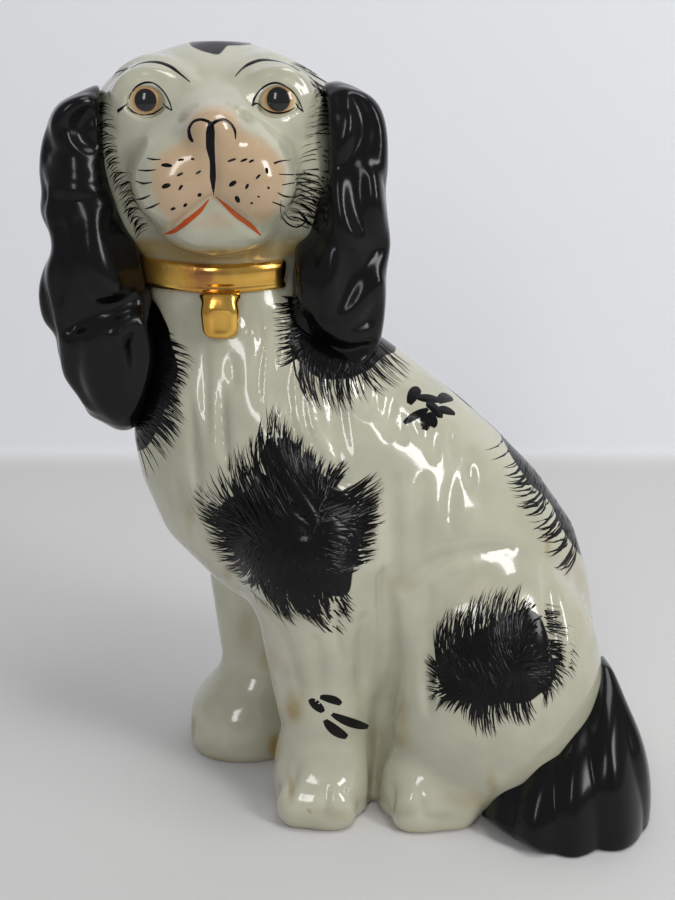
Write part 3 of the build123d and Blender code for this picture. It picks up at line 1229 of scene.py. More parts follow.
@dataclass
class Head:
    """Head with its muzzle, brows and eye sockets, and the neck that the collar hides."""

    grain: float = 0.56
    low: Point = (-113.0, -38.0, 171.0)
    high: Point = (-34.0, 50.0, 244.5)
    neck: tuple = (
        (168, -97, -46, -11.5, 30.2), (177, -97.5, -45.5, -10, 31), (182, -99.5, -43.5, -9.5, 31),
        (187, -97, -46, -8, 31),
    )
    skull: tuple = (
        (180, -92, -53.5, -7.4, 30.7), (187.6, -100, -45.5, -15.4, 37.9), (197, -106.5, -40, -21.1, 43.7),
        (208.4, -110, -37.5, -23, 47.3), (219, -111.5, -35.5, -20.4, 47.8), (227, -110, -36, -15.5, 46),
        (233, -105, -42, -9, 42), (237.5, -97, -50, -3, 37), (241, -87, -59, 4, 30), (243, -77, -68, 12, 24),
    )
    bulges: tuple = (
        Bulge((-71, -16, 212), (13.5, 14, 15), 8.0),
        Bulge((-82.3, -18.6, 203.5), (13.0, 13.0, 13.2), 7.0),
        Bulge((-60.7, -18.6, 204.2), (13.0, 13.0, 13.2), 7.0),
        Bulge((-71, -13, 190), (15, 12.5, 8.5), 8.0),
        Bulge((-70.4, -24.5, 218.6), (8.2, 8.4, 6.6), 4.0),
        Bulge((-97.5, 2, 200), (8, 12, 18), 8.0),
        Bulge((-45.5, 2, 200), (8, 12, 18), 8.0),
    )
    eyes: tuple = ((145.0, 98.0), (278.0, 97.5))
    eye_depth: float = -13.8
    ball: Point = (8.6, 8.8, 7.8)
    socket: Point = (11.2, 9.6, 9.6)
    pupil_rise: float = 1.2
    upper_arc: Pixel = (-1.0, 5.7)
    lower_arc: Pixel = (3.6, 7.9)
    lid_reach: float = 6.9
    lid_level: float = -1.6
    lid_shares: tuple = ((1, 1.0), (-1, 0.42))
    lid_roll: Pixel = (0.75, 0.35)
    lid_fillet: float = 1.1
    lid_sink: float = 0.15
    fold_reach: Pixel = (9.2, 9.4)
    fold_roll: float = 1.2
    fold_fillet: float = 3.0
    ball_grain: float = 0.3
    base_level: float = 172.5
    # The crown's outline in the photograph's pixels
    dome: tuple = (
        (60, 420), (60, 130), (80, 100), (97.7, 86), (114, 69.5), (140.6, 52.6), (165, 44.3), (191.6, 41),
        (210, 40), (229, 40.4), (256, 43.2), (277, 49.6), (309.5, 67), (328, 78), (345, 84), (400, 130),
        (400, 420),
    )
    brows: tuple = (
        ((118, 74), (132, 66.5), (150, 64), (170, 69), (190, 83)),
        ((236, 76), (248, 66), (266, 62), (284, 64), (304, 70)),
    )
    brow_roll: tuple = (3.0, True, 0.93, 0.3, 4.0)
    scores: tuple = (
        Ridge(((212, 128), (212, 150), (213, 175), (214, 197)), 1.5, False, 0.5, 0.4, 1.4),
        Ridge(((213, 197), (196, 211), (180, 225), (166, 235)), 1.5, False, 0.35, 0.3, 1.6),
        Ridge(((214, 197), (230, 211), (246, 225), (262, 236)), 1.5, False, 0.35, 0.3, 1.6),
    )

    def eye_place(self, pixel: Pixel) -> Point:
        """Middle of an eyeball, from where its pupil is seen."""
        front = PHOTO.at_depth(pixel, self.eye_depth)
        return (float(front[0]), self.eye_depth + self.ball[1], float(front[2]) - self.pupil_rise)

    def ball_front(self, centre: Point, across: float, up: float) -> float:
        """Depth of the eyeball's front at an offset from its middle."""
        share = 1 - (across / self.ball[0]) ** 2 - (up / self.ball[2]) ** 2
        return centre[1] - self.ball[1] * math.sqrt(max(0.06, share))

    def add_eye(self, clay: Clay, pixel: Pixel) -> None:
        """Shapes one brow, socket and pair of lids.

        Args:
            clay: The clay to work.
            pixel: Where its pupil is seen.
        """
        centre = self.eye_place(pixel)
        x, y, z = centre
        clay.join(clay.ellipsoid((x, y + 1.0, z + 0.6), self.socket), 7.0)
        upper, lower = (np.hypot(clay.x - x, clay.z - (z + level)) - radius
                        for level, radius in (self.upper_arc, self.lower_arc))
        opening = np.maximum(np.maximum(upper, lower) + 0 * clay.y, clay.y - (y - 1.0))
        clay.carve(opening, 0.6)
        for rise, share in self.lid_shares:
            turns = np.linspace(0, math.pi, 15)
            points = []
            for turn in turns:
                across = self.lid_reach * math.cos(turn)
                up = self.lid_level + rise * self.lid_reach * share * math.sin(turn)
                points.append((x + across, self.ball_front(centre, across, up) - self.lid_sink, z + up))
            radii = self.lid_roll[0] + self.lid_roll[1] * np.sin(turns)
            clay.add_chain(points, radii, self.lid_fillet)
        fold = []
        for turn in np.linspace(0.35, math.pi - 0.35, 12):
            across, up = self.fold_reach[0] * math.cos(turn), -1.0 + self.fold_reach[1] * math.sin(turn)
            fold.append((x + across, y - 7.2 + 0.04 * across * across + 0.035 * up * up, z + up))
        clay.add_chain(fold, [self.fold_roll] * len(fold), self.fold_fillet)

    def sculpt(self) -> "Skin":
        """Shapes the clay and paints its values.

        Returns:
            The finished surface.
        """
        clay = Clay(self.low, self.high, self.grain)
        clay.join(clay.stack(self.skull), 0)
        clay.join(clay.stack(self.neck, 2.0), 3.0)
        for bulge in self.bulges:
            clay.add(bulge)
        for brow in self.brows:
            clay.lay(Ridge(brow, *self.brow_roll))
        for score in self.scores:
            clay.lay(score)
        clay.trim(self.dome, BODY_PIXELS, 2.0)
        clay.soften(5)
        for pixel in self.eyes:
            self.add_eye(clay, pixel)
        clay.soften(1)
        clay.depth[...] = np.maximum(clay.depth, self.base_level - clay.z)
        skin = Skin("figure_head", *clay.surface())
        Paintwork().mark_head(skin)
        return skin

    def build(self) -> tuple[bpy.types.Object, "Skin"]:
        """Makes the head."""
        skin = self.sculpt()
        return skin.build(), skin

    def eye_skin(self, name: str, pixel: Pixel) -> "Skin":
        """Shapes one eyeball.

        Args:
            name: Its name.
            pixel: Where its pupil is seen.

        Returns:
            The eyeball's surface.
        """
        centre = self.eye_place(pixel)
        reach = np.array(self.ball) + 1.0
        clay = Clay(np.array(centre) - reach, np.array(centre) + reach, self.ball_grain)
        clay.join(clay.ellipsoid(centre, self.ball), 0)
        return Skin(name, *clay.surface())


@dataclass
class Ear:
    """A long combed ear that hangs beside the face."""

    name: str
    low: Point
    high: Point
    stations: tuple
    ends: tuple
    outline: tuple
    locks: tuple
    hidden: tuple
    grain: float = 0.45
    deeper: Pixel = (-0.15, 0.2)
    softer: float = 0.6

    def sculpt(self) -> "Skin":
        """Shapes the lobe and lays its locks of hair, front and back.

        Returns:
            The finished surface.
        """
        clay = Clay(self.low, self.high, self.grain)
        clay.join(clay.stack(self.stations, 5.0), 0)
        for root in self.ends:
            clay.add(root)
        for lock in self.locks + self.hidden:
            deeper = self.deeper[0] if lock.raised else self.deeper[1]
            clay.lay(replace(lock, sink=lock.sink + deeper, fillet=lock.fillet + self.softer))
        clay.trim(self.outline, EAR_PIXELS, 3.0)
        clay.carve(clay.x - EAR_LIMIT + 0 * clay.y + 0 * clay.z, 2.0)
        clay.soften(9)
        return Skin(f"{self.name}_lobe", *clay.surface())

    def build(self) -> bpy.types.Object:
        """Makes the ear."""
        return self.sculpt().build()


def right_ear() -> Ear:
    """The ear on the dog's right, at the left of the photograph.

    Returns:
        The ear, ready to build.
    """
    return Ear(
        "right_ear",
        (-134.0, -24.0, 116.0), (-86.0, 27.0, 237.0),
        (
            (128, -115, -92, -7.8, 8.8), (134, -118, -90, -10, 12), (143, -122, -89, -12, 14.5),
            (151, -125, -90, -14, 16), (157, -124.5, -90, -15.5, 17.5), (166, -127, -90.5, -16, 18.5),
            (177, -125.5, -94, -16.5, 19.5), (190, -124.5, -97, -15.5, 20.5),
            (204, -124.5, -100.5, -13.5, 20.5), (214, -123, -103, -10, 19.5), (220, -121, -103, -7, 17),
        ),
        (
            Bulge((-107, 3, 218.5), (17.6, 14, 13.0), 5.0),
            Bulge((-103.5, 0.5, 131), (12.5, 9.5, 9.5), 4.0),
        ),
        (
            (100, 82), (79, 92), (57.5, 104), (46.8, 123), (41, 145), (39, 169), (41, 191), (40, 212),
            (49, 234), (50.5, 252), (42.5, 271), (36, 298), (41.4, 320), (54.5, 336), (57.5, 357), (64, 379),
            (77, 397), (84, 413), (103, 423), (119, 431), (134, 428), (146, 408), (154, 380), (158, 350),
            (152, 325), (152, 308), (149, 288), (140, 250), (127, 223), (113, 180), (107, 160), (101, 137),
            (100, 108),
        ),
        (
            Ridge(((52, 128), (46, 150), (46, 176), (48, 200)), 5.2, True, 0.5, 0.3, 3.0),
            Ridge(((94, 101), (78, 108), (67, 122), (66, 138), (76, 152), (94, 158)), 4.4, True, 0.45, 0.3,
                2.4),
            Ridge(((84, 100), (64, 108), (53, 124)), 3.2, True, 0.5, 0.3, 2.4),
            Ridge(((92, 116), (82, 124), (83, 138), (93, 144)), 3.4, False, 0.5, 0.3, 2.6),
            Ridge(((48, 168), (58, 184), (74, 190), (92, 190), (106, 197)), 3.8, True, 0.5, 0.3, 2.2),
            Ridge(((54, 158), (68, 168), (86, 170), (100, 176)), 3.0, True, 0.5, 0.3, 2.0),
            Ridge(((48, 212), (62, 216), (84, 214), (102, 214), (110, 204)), 3.8, True, 0.5, 0.3, 2.2),
            Ridge(((53, 240), (44, 268), (42, 298), (52, 322)), 5.4, True, 0.5, 0.3, 3.0),
            Ridge(((70, 226), (63, 252), (70, 282), (68, 308)), 5.0, True, 0.55, 0.3, 3.0),
            Ridge(((92, 226), (92, 252), (102, 280), (112, 296)), 6.0, True, 0.6, 0.3, 4.0),
            Ridge(((60, 228), (55, 256), (57, 284), (58, 308)), 2.6, False, 0.5, 0.3, 2.4),
            Ridge(((62, 342), (80, 334), (104, 330), (128, 322), (146, 316)), 5.0, True, 0.45, 0.3, 2.6),
            Ridge(((58, 330), (80, 322), (106, 314), (132, 302)), 3.4, False, 0.6, 0.3, 3.0),
            Ridge(((72, 346), (70, 368), (80, 390), (96, 408)), 4.0, True, 0.45, 0.3, 2.4),
            Ridge(((92, 346), (94, 370), (104, 396), (116, 416)), 4.4, True, 0.5, 0.3, 2.8),
            Ridge(((116, 338), (120, 364), (124, 392), (126, 414)), 4.6, True, 0.5, 0.3, 2.8),
            Ridge(((142, 326), (146, 352), (142, 380), (134, 406)), 3.6, True, 0.5, 0.3, 2.6),
            Ridge(((101, 104), (104, 128), (111, 154), (120, 180), (130, 210), (136, 240), (143, 280)), 1.9,
                True, 0.3, 0.3, 1.6),
        ),
        (
            Ridge(((106, -226), (118, -214), (122, -196), (118, -178)), 4.0, True, 0.55, 0.35, 3.0, BACK),
            Ridge(((100, -220), (108, -200), (106, -180), (110, -160)), 3.4, True, 0.55, 0.35, 2.6, BACK),
            Ridge(((114, -206), (112, -188), (113, -170)), 1.9, False, 0.4, 0.3, 2.0, BACK),
            Ridge(((120, -184), (124, -168), (120, -150), (112, -138)), 3.8, True, 0.55, 0.35, 2.6, BACK),
            Ridge(((106, -172), (112, -154), (104, -138), (100, -128)), 3.2, True, 0.55, 0.35, 2.4, BACK),
            Ridge(((-4, -222), (-12, -204), (-6, -186), (-12, -168)), 3.4, True, 0.5, 0.35, 2.4, LEFT),
            Ridge(((6, -214), (2, -196), (8, -178), (4, -158), (0, -140)), 3.6, True, 0.5, 0.35, 2.4, LEFT),
            Ridge(((12, -200), (10, -180), (13, -160), (8, -142)), 3.2, True, 0.5, 0.35, 2.4, LEFT),
            Ridge(((-8, -164), (-4, -150), (-8, -138)), 3.0, True, 0.5, 0.35, 2.0, LEFT),
            Ridge(((0, -206), (-3, -186), (2, -166), (-1, -148)), 1.8, False, 0.4, 0.3, 2.0, LEFT),
        ),
    )


def left_ear() -> Ear:
    """The ear on the dog's left, at the right of the photograph.

    Returns:
        The ear, ready to build.
    """
    return Ear(
        "left_ear",
        (-56.0, -24.0, 133.0), (-14.0, 27.0, 240.0),
        (
            (146, -45, -23, -10, 11), (151.7, -47, -21.5, -13, 14), (162.5, -50.2, -20.7, -15.5, 17),
            (174, -50.4, -20.4, -16.5, 18.5), (185, -46.5, -20.6, -16.5, 19.3), (195, -42.5, -20.5, -16, 20),
            (206.6, -40, -20.4, -14.2, 20.4), (214, -40, -21, -11.5, 20), (220, -42, -22.5, -8, 18),
        ),
        (
            Bulge((-37.5, 3, 217.5), (16.4, 14, 13.8), 5.0),
            Bulge((-35.5, 0.5, 148), (12.5, 10, 9.5), 4.0),
        ),
        (
            (322, 80), (340, 79), (356, 85), (376, 99), (386, 124), (388.6, 164), (386, 190), (388.5, 217),
            (391, 244), (387, 271), (386, 298), (384, 325), (381.5, 343), (372, 360), (362, 371),
            (341.5, 375), (322, 370), (307, 358), (296, 350), (289, 325), (288, 298), (286, 264), (293, 242),
            (309, 218), (316, 201), (326, 176), (328, 137), (327, 108),
        ),
        (
            Ridge(((331, 96), (333, 120), (332, 146), (331, 172)), 2.0, True, 0.3, 0.3, 1.8),
            Ridge(((344, 92), (354, 106), (354, 126), (344, 146), (336, 164)), 4.0, True, 0.45, 0.3, 2.6),
            Ridge(((360, 96), (376, 116), (381, 142), (380, 168)), 5.4, True, 0.5, 0.3, 3.2),
            Ridge(((356, 98), (366, 118), (364, 142), (352, 162)), 2.6, False, 0.5, 0.3, 2.6),
            Ridge(((331, 172), (333, 190), (323, 208), (312, 224)), 3.6, True, 0.45, 0.3, 2.2),
            Ridge(((336, 176), (342, 198), (346, 224), (350, 250)), 4.6, True, 0.5, 0.3, 2.8),
            Ridge(((372, 176), (370, 198), (374, 220), (383, 242)), 4.4, True, 0.5, 0.3, 2.8),
            Ridge(((358, 172), (356, 200), (362, 226)), 3.0, False, 0.5, 0.3, 3.0),
            Ridge(((300, 242), (310, 262), (312, 284), (306, 306)), 4.4, True, 0.5, 0.3, 2.8),
            Ridge(((381, 252), (374, 276), (358, 304), (336, 324)), 4.2, True, 0.45, 0.3, 2.4),
            Ridge(((330, 250), (334, 276), (330, 300), (322, 324)), 4.8, True, 0.55, 0.3, 3.0),
            Ridge(((352, 256), (352, 280), (342, 304)), 2.8, False, 0.5, 0.3, 2.8),
            Ridge(((382, 282), (379, 306), (378, 330)), 4.6, True, 0.5, 0.3, 2.8),
            Ridge(((296, 300), (300, 324), (310, 344)), 4.4, True, 0.5, 0.3, 2.8),
            Ridge(((312, 354), (330, 364), (350, 366), (368, 356)), 4.6, True, 0.5, 0.3, 2.6),
            Ridge(((318, 342), (336, 352), (354, 352), (372, 342)), 2.4, False, 0.5, 0.3, 2.4),
            Ridge(((324, 322), (340, 334), (358, 334), (374, 326)), 3.4, True, 0.5, 0.3, 2.4),
        ),
        (
            Ridge(((36, -230), (26, -216), (23, -196), (28, -178)), 4.0, True, 0.55, 0.35, 3.0, BACK),
            Ridge(((40, -222), (34, -202), (38, -182), (34, -162)), 3.4, True, 0.55, 0.35, 2.6, BACK),
            Ridge(((30, -210), (31, -190), (32, -172)), 1.9, False, 0.4, 0.3, 2.0, BACK),
            Ridge(((26, -182), (24, -166), (30, -152), (38, -146)), 3.6, True, 0.55, 0.35, 2.6, BACK),
            Ridge(((44, -180), (46, -164), (40, -150)), 3.2, True, 0.55, 0.35, 2.4, BACK),
            Ridge(((2, -226), (-8, -206), (-2, -186), (-8, -166)), 3.4, True, 0.5, 0.35, 2.4, RIGHT),
            Ridge(((10, -218), (4, -196), (10, -176), (6, -156)), 3.6, True, 0.5, 0.35, 2.4, RIGHT),
            Ridge(((-10, -200), (-6, -180), (-11, -160), (-6, -146)), 3.2, True, 0.5, 0.35, 2.4, RIGHT),
            Ridge(((3, -208), (-2, -188), (3, -168), (0, -150)), 1.8, False, 0.4, 0.3, 2.0, RIGHT),
        ),
    )


@dataclass
class Tail:
    """Black fan tail, ribbed from its apex to the table."""

    low: Point = (4.0, -60.0, -1.2)
    high: Point = (72.0, 16.0, 54.0)
    grain: float = 0.42
    apex: Point = (53.5, -9.0, 52.0)
    stations: tuple = (
        (-2, 7, 66.5, -54, 2), (4, 6, 67, -54.5, 3.5), (12, 10, 66.8, -53.5, 6), (20.7, 19, 65.8, -51, 8.5),
        (29.4, 28, 64.5, -46, 10.5), (37.7, 37, 62.8, -38, 11.5), (45, 42, 60, -29, 9), (50, 46, 58, -20, 4),
    )
    outline: tuple = (
        (602, 654), (588, 676), (565, 710), (545, 735), (516, 762), (494, 786), (481, 803), (481, 815),
        (498, 828), (520, 842), (548, 856), (575, 864), (604, 861), (632, 851), (649, 836), (654, 805),
        (651, 770), (641, 735), (626, 700), (613, 670),
    )
    rib_count: int = 9
    rib_depth: float = 2.3
    rib_edge: float = 0.8
    rib_level: float = 0.3
    # Strength and rate of the ribs' wander round the fan and down it
    wander: tuple = ((1.3, 3.0), (0.5, 5.0))
    # Strength, rate and start of the fan's swell
    swell: Point = (0.5, 7.0, 1.0)
    # Shares of the height between which the ribs grow
    growth: Pixel = (0.05, 0.5)
    hub: float = 4.0

    def build(self) -> bpy.types.Object:
        """Makes the tail, with a scalloped edge where its ribs end.

        Returns:
            What was made.
        """
        clay = Clay(self.low, self.high, self.grain)
        clay.join(clay.stack(self.stations, 5.0), 0)
        turn = np.arctan2(clay.y - self.apex[1] - self.hub, clay.x - self.apex[0] + self.hub)
        drop = np.clip((self.apex[2] - clay.z) / self.apex[2], 0, 1)
        round_fan, down_fan = self.wander
        bend = round_fan[0] * np.sin(turn * round_fan[1])
        wave = np.cos(turn * self.rib_count + bend + down_fan[0] * np.sin(drop * down_fan[1]))
        groove = (1 - np.abs(wave)) ** self.rib_edge
        strength, rate, start = self.swell
        swell = np.sin(turn * rate + start) * strength
        clay.depth[...] += self.rib_depth * smooth_step(drop,
            *self.growth) * (groove + swell - self.rib_level)
        clay.trim(self.outline, TAIL_PIXELS, 2.5)
        clay.soften(5)
        clay.carve(clay.z + 0 * clay.x + 0 * clay.y, 1.5)
        return Skin("fan_tail", *clay.surface()).build()


@dataclass
class Collar:
    """Gilt collar: a rounded band over a thin ridge, with its padlock tag."""

    low: Point = (-101.0, -18.0, 163.0)
    high: Point = (-44.0, 38.0, 184.0)
    grain: float = 0.32
    middle: Pixel = (-71.6, 10.4)
    half: Pixel = (27.0, 21.4)
    band_height: float = 3.7
    band_level: float = 175.4
    ridge_level: float = 171.4
    sag: float = 0.6
    # Middle and half width of the sag in front
    sag_span: Pixel = (-71.0, 12.0)
    # Powers that make the band's section square, up and outwards, and the root taken of both
    squareness: Point = (3.2, 2.4, 3.0)
    # Spans over which the sanded gilding starts, to the right, in front and upwards
    sanded_spans: tuple = ((78.0, 79.5), (-6.0, 0.0), (171.4, 172.2))
    band_half: float = 2.1
    ridge_radius: float = 1.25
    hidden_end: Bulge = Bulge((-45.2, -4.0, 174.0), (6.6, 8.5, 9.0), 2.2)
    lock_low: Point = (-81.0, -22.0, 154.0)
    lock_high: Point = (-61.0, -8.0, 173.0)
    lock_grain: float = 0.26
    lock_forms: tuple = (
        Bulge((-71.2, -15.2, 162.6), (5.6, 3.4, 5.8), 0.0, 3.4),
        Bulge((-71.2, -14.6, 166.2), (5.2, 2.8, 4.0), 1.5, 3.4),
        Bulge((-71.2, -14.0, 169.4), (6.2, 2.4, 1.6), 1.5, 2.4),
    )
    lock_panel: Bulge = Bulge((-70.8, -19.2, 161.6), (3.0, 1.3, 3.6), 0.5, 4.0)

    def build(self) -> bpy.types.Object:
        """Makes the band.

        Returns:
            What was made.
        """
        clay = Clay(self.low, self.high, self.grain)
        out = ellipse_depth(clay.x - self.middle[0], clay.y - self.middle[1], *self.half)
        front = np.exp(-(((clay.x - self.sag_span[0]) / self.sag_span[1]) ** 2)) * smooth_step(-clay.y, -4, 4)
        level = clay.z + self.sag * front
        rise = np.abs(level - self.band_level) / self.band_height
        girth = np.abs(out - 0.2) / self.band_half
        upward, outward, root = self.squareness
        band = ((rise**upward + girth**outward + 1e-9) ** (1 / root) - 1) * 2.0
        ridge = np.hypot((out - 0.4) / self.ridge_radius, level - self.ridge_level) - self.ridge_radius
        clay.join(band + 0 * ridge, 0)
        clay.join(ridge, 0.8)
        end = self.hidden_end
        clay.carve(clay.ellipsoid(end.centre, end.radii), end.fillet)
        skin = Skin("collar_band", *clay.surface())
        right, front, up = self.sanded_spans
        facing = smooth_step(-skin.points[:, 1], *front)
        upper = smooth_step(skin.points[:, 2], *up)
        skin.values["sanded"] = smooth_step(-skin.points[:, 0], *right) * facing * upper
        return skin.build()

    def build_padlock(self) -> bpy.types.Object:
        """Makes the padlock tag with its hanger and sunk panel.

        Returns:
            The piece.
        """
        clay = Clay(self.lock_low, self.lock_high, self.lock_grain)
        for form in self.lock_forms:
            clay.add(form)
        panel = self.lock_panel
        clay.carve(clay.ellipsoid(panel.centre, panel.radii, panel.power), panel.fillet)
        skin = Skin("padlock_tag", *clay.surface())
        skin.values["sanded"] = np.zeros(len(skin.points))
        return skin.build()


@dataclass
class Paintwork:
    """Painted patches, held as how far inside each outline a point of the surface lies."""

    crown_mark: tuple = (
        (189, 36), (190, 44), (199, 50), (211, 53.5), (218, 54), (223, 50), (230, 42), (231, 36),
    )
    blush: tuple = (
        (214, 102), (236, 107), (244, 126), (269, 140), (286, 161), (289, 185), (281, 208), (264, 226),
        (238, 216), (214, 201), (190, 218), (174, 228), (158, 214), (149, 193), (150, 167), (162, 149),
        (181, 138), (186, 119), (197, 107),
    )
    chin_blush: tuple = ((214, 203), (238, 220), (232, 232), (196, 232), (190, 221))
    shoulder: tuple = (
        (220, 506), (230, 498), (250, 490), (262, 480), (272, 464), (278, 444), (286, 436), (296, 446),
        (306, 462), (320, 472), (336, 484), (346, 494), (352, 502), (366, 510), (368, 524), (362, 540),
        (356, 556), (353, 574), (348, 594), (330, 596), (318, 590), (306, 598), (294, 592), (280, 588),
        (264, 576), (246, 564), (232, 550), (222, 530),
    )
    haunch: tuple = (
        (438, 658), (452, 645), (468, 637), (482, 629), (496, 621), (508, 615), (523, 609), (538, 615),
        (547, 634), (551, 652), (556, 668), (552, 683), (542, 693), (530, 702), (514, 704), (500, 702),
        (486, 706), (470, 704), (454, 700), (444, 690), (438, 676),
    )
    chest: tuple = (
        (120, 292), (150, 298), (166, 322), (172, 345), (178, 372), (168, 396), (164, 410), (156, 432),
        (148, 446), (136, 452), (110, 452), (100, 380),
    )
    under_ear: tuple = (
        (272, 296), (288, 300), (290, 330), (292, 352), (306, 368), (320, 378), (345, 379), (368, 370),
        (384, 356), (396, 350), (384, 330), (340, 300),
    )
    back_patch: tuple = (
        (496, 428), (506, 446), (520, 470), (532, 486), (548, 500), (558, 520), (566, 536), (582, 556),
        (600, 560), (600, 420), (500, 410),
    )
    far_shoulder: tuple = (
        (52, -116), (66, -124), (84, -120), (92, -104), (88, -86), (74, -76), (58, -80), (50, -96),
    )
    far_haunch: tuple = (
        (-34, -70), (-20, -78), (-4, -76), (8, -64), (6, -48), (-8, -38), (-24, -40), (-36, -54),
    )
    far_back: tuple = (
        (-30, -132), (-12, -138), (4, -128), (10, -112), (-2, -102), (-20, -106), (-32, -118),
    )

    # Brown blots, partly real stains and partly painted shade in creases and along the table: middle, half
    # width, half height and strength, in the photograph's pixels
    stain_and_shade_blots: tuple = (
        ((293, 708), 16, 26, 0.9), ((275, 748), 12, 22, 0.9), ((268, 662), 14, 24, 0.5),
        ((245, 628), 14, 30, 0.35), ((291, 788), 5, 20, 0.8), ((310, 811), 3, 3, 1.0),
        ((371, 800), 9, 9, 0.7), ((403, 722), 9, 36, 0.35), ((404, 716), 8, 20, 0.3),
        ((470, 800), 40, 14, 0.3), ((340, 815), 40, 10, 0.2), ((404, 812), 16, 10, 0.2),
        ((193, 728), 4, 20, 0.6), ((290, 345), 6, 40, 0.25), ((262, 345), 3, 40, 0.25),
        ((190, 515), 8, 24, 0.3), ((228, 572), 8, 10, 0.5), ((400, 585), 20, 14, 0.25),
        ((580, 600), 12, 60, 0.2), ((490, 640), 70, 110, 0.08), ((548, 542), 5, 22, 0.55),
        ((567, 568), 5, 18, 0.45), ((492, 782), 9, 20, 0.4), ((404, 738), 12, 16, 0.35),
    )
    # Grey painted shade on the paws' lower edges by the table: middle, half width and half height
    shade_blots: tuple = (((405, 812), 22, 10), ((207, 747), 16, 7), ((440, 815), 26, 7), ((330, 812), 24, 9))
    shade_blot_strength: float = 0.3

    @staticmethod
    def blot(pixels: np.ndarray, place: Pixel, half: Pixel, inner: float) -> np.ndarray:
        """A soft oval mark in a view, 1 in its middle."""
        reach = np.hypot((pixels[:, 0] - place[0]) / half[0], (pixels[:, 1] - place[1]) / half[1])
        return 1 - smooth_step(reach, inner, 1.0)

    @staticmethod
    def seen(skin: "Skin", view: "PhotoView | SideView", limit: float = -0.02) -> np.ndarray:
        """Which points of the surface face a view.

        Args:
            skin: The surface.
            view: The view that the pixels belong to.
            limit: Where facing starts.

        Returns:
            True where they do.
        """
        if isinstance(view, PhotoView):
            toward = skin.points - np.array(view.place)
            toward = toward / np.linalg.norm(toward, axis=1, keepdims=True)
            return (skin.normals * toward).sum(1) < limit
        return skin.normals @ view.axes()[0] < limit

    def depth(self, skin: "Skin", view: "PhotoView | SideView", outlines: Sequence,
        scale: float) -> np.ndarray:
        """How far inside any of the outlines each point lies, in millimetres.

        Args:
            skin: The surface.
            view: The view that the pixels belong to.
            outlines: Closed outlines.
            scale: Pixels to a millimetre.

        Returns:
            One depth to a point.
        """
        pixels = view.pixels(skin.points)
        best = np.full(len(pixels), UNSEEN)
        for outline in outlines:
            closed = smooth_path(tuple(outline) + (outline[0],))[:-1]
            best = np.maximum(best, outline_depth(pixels, closed) / scale)
        return np.where(self.seen(skin, view), best, UNSEEN)

    def mark_body(self, skin: "Skin") -> None:
        """Paints the body's patches, its stains with painted shade in the creases and along the foot, and
        grey painted shade by the table.

        Args:
            skin: The surface.
        """
        front = (self.shoulder, self.haunch, self.chest, self.under_ear, self.back_patch)
        black = self.depth(skin, PHOTO, front, BODY_PIXELS)
        hidden = self.depth(skin, BACK, (self.far_shoulder, self.far_haunch, self.far_back), 1.0)
        skin.values["black_depth"] = np.clip(np.maximum(black, hidden), -3.0, 3.0)
        hollow = skin.hollowness()
        # Painted shade in the hollows, with some pooled stain: darker where the surface is hollow
        stain_and_crease_shade = 0.35 * smooth_step(hollow, 0.16, 0.46)
        pixels = PHOTO.pixels(skin.points)
        shown = self.seen(skin, PHOTO)
        # Brown blots: real stains, and painted shade in creases and along the table
        for place, across, down, strength in self.stain_and_shade_blots:
            stain_and_shade = strength * self.blot(pixels, place, (across, down), 0.15)
            stain_and_crease_shade = np.maximum(stain_and_crease_shade, np.where(shown, stain_and_shade, 0))
        # Stain colour along the lowest few millimetres, darker towards the table
        low = 1 - smooth_step(skin.points[:, 2], 0.5, 4.5)
        skin.values["stain_and_crease_shade"] = np.clip(np.maximum(stain_and_crease_shade, 0.35 * low), 0, 1)
        # Grey painted shade on the paws' lower edges by the table
        grey_painted_shade = np.zeros(len(skin.points))
        for place, across, down in self.shade_blots:
            shade_blot = self.shade_blot_strength * self.blot(pixels, place, (across, down), 0.1)
            grey_painted_shade = np.maximum(grey_painted_shade, np.where(shown, shade_blot, 0))
        skin.values["grey_painted_shade"] = grey_painted_shade
        skin.values["blush"] = np.zeros(len(skin.points))

    def mark_head(self, skin: "Skin") -> None:
        """Paints the head's patches and blush, its stains with painted shade in the creases and under the
        chin, and grey painted shade on the crown's sides.

        Args:
            skin: The surface.
        """
        mark = self.depth(skin, PHOTO, (self.crown_mark,), HEAD_PIXELS)
        behind = 9.5 - np.hypot(skin.points[:, 0] + 71.5, (skin.points[:, 1] - 16.0) / 1.15)
        behind = np.where((skin.normals[:, 2] > 0.2) & (PHOTO.pixels(skin.points)[:, 1] < 46), behind, UNSEEN)
        skin.values["black_depth"] = np.clip(np.maximum(mark, behind), -3.0, 3.0)
        blush = smooth_step(self.depth(skin, PHOTO, (self.blush,), HEAD_PIXELS), -1.0, 3.0) * 0.8
        chin = smooth_step(self.depth(skin, PHOTO, (self.chin_blush,), HEAD_PIXELS), -1.0, 4.0) * 0.45
        skin.values["blush"] = np.maximum(blush, chin)
        hollow = skin.hollowness()
        # Painted shade in the face's hollows, with some pooled stain
        stain_and_crease_shade = smooth_step(hollow, 0.07, 0.26) * 0.8
        # Painted shade under the chin, above the collar, partly brown stain
        neck = 1 - smooth_step(np.abs(skin.points[:, 2] - 182.0), 1.0, 5.0)
        stain_and_crease_shade = np.maximum(stain_and_crease_shade, 0.75 * neck * smooth_step(-skin.points[:, 1], -14.0, 4.0))
        skin.values["stain_and_crease_shade"] = np.clip(stain_and_crease_shade, 0, 1)
        # Grey painted shade on the crown's outer sides, where the ears join it
        sides = smooth_step(np.abs(skin.points[:, 0] + 72.5), 23.0, 31.0) * smooth_step(skin.points[:, 2],
            226, 236)
        skin.values["grey_painted_shade"] = np.clip(sides * 0.9, 0, 1)


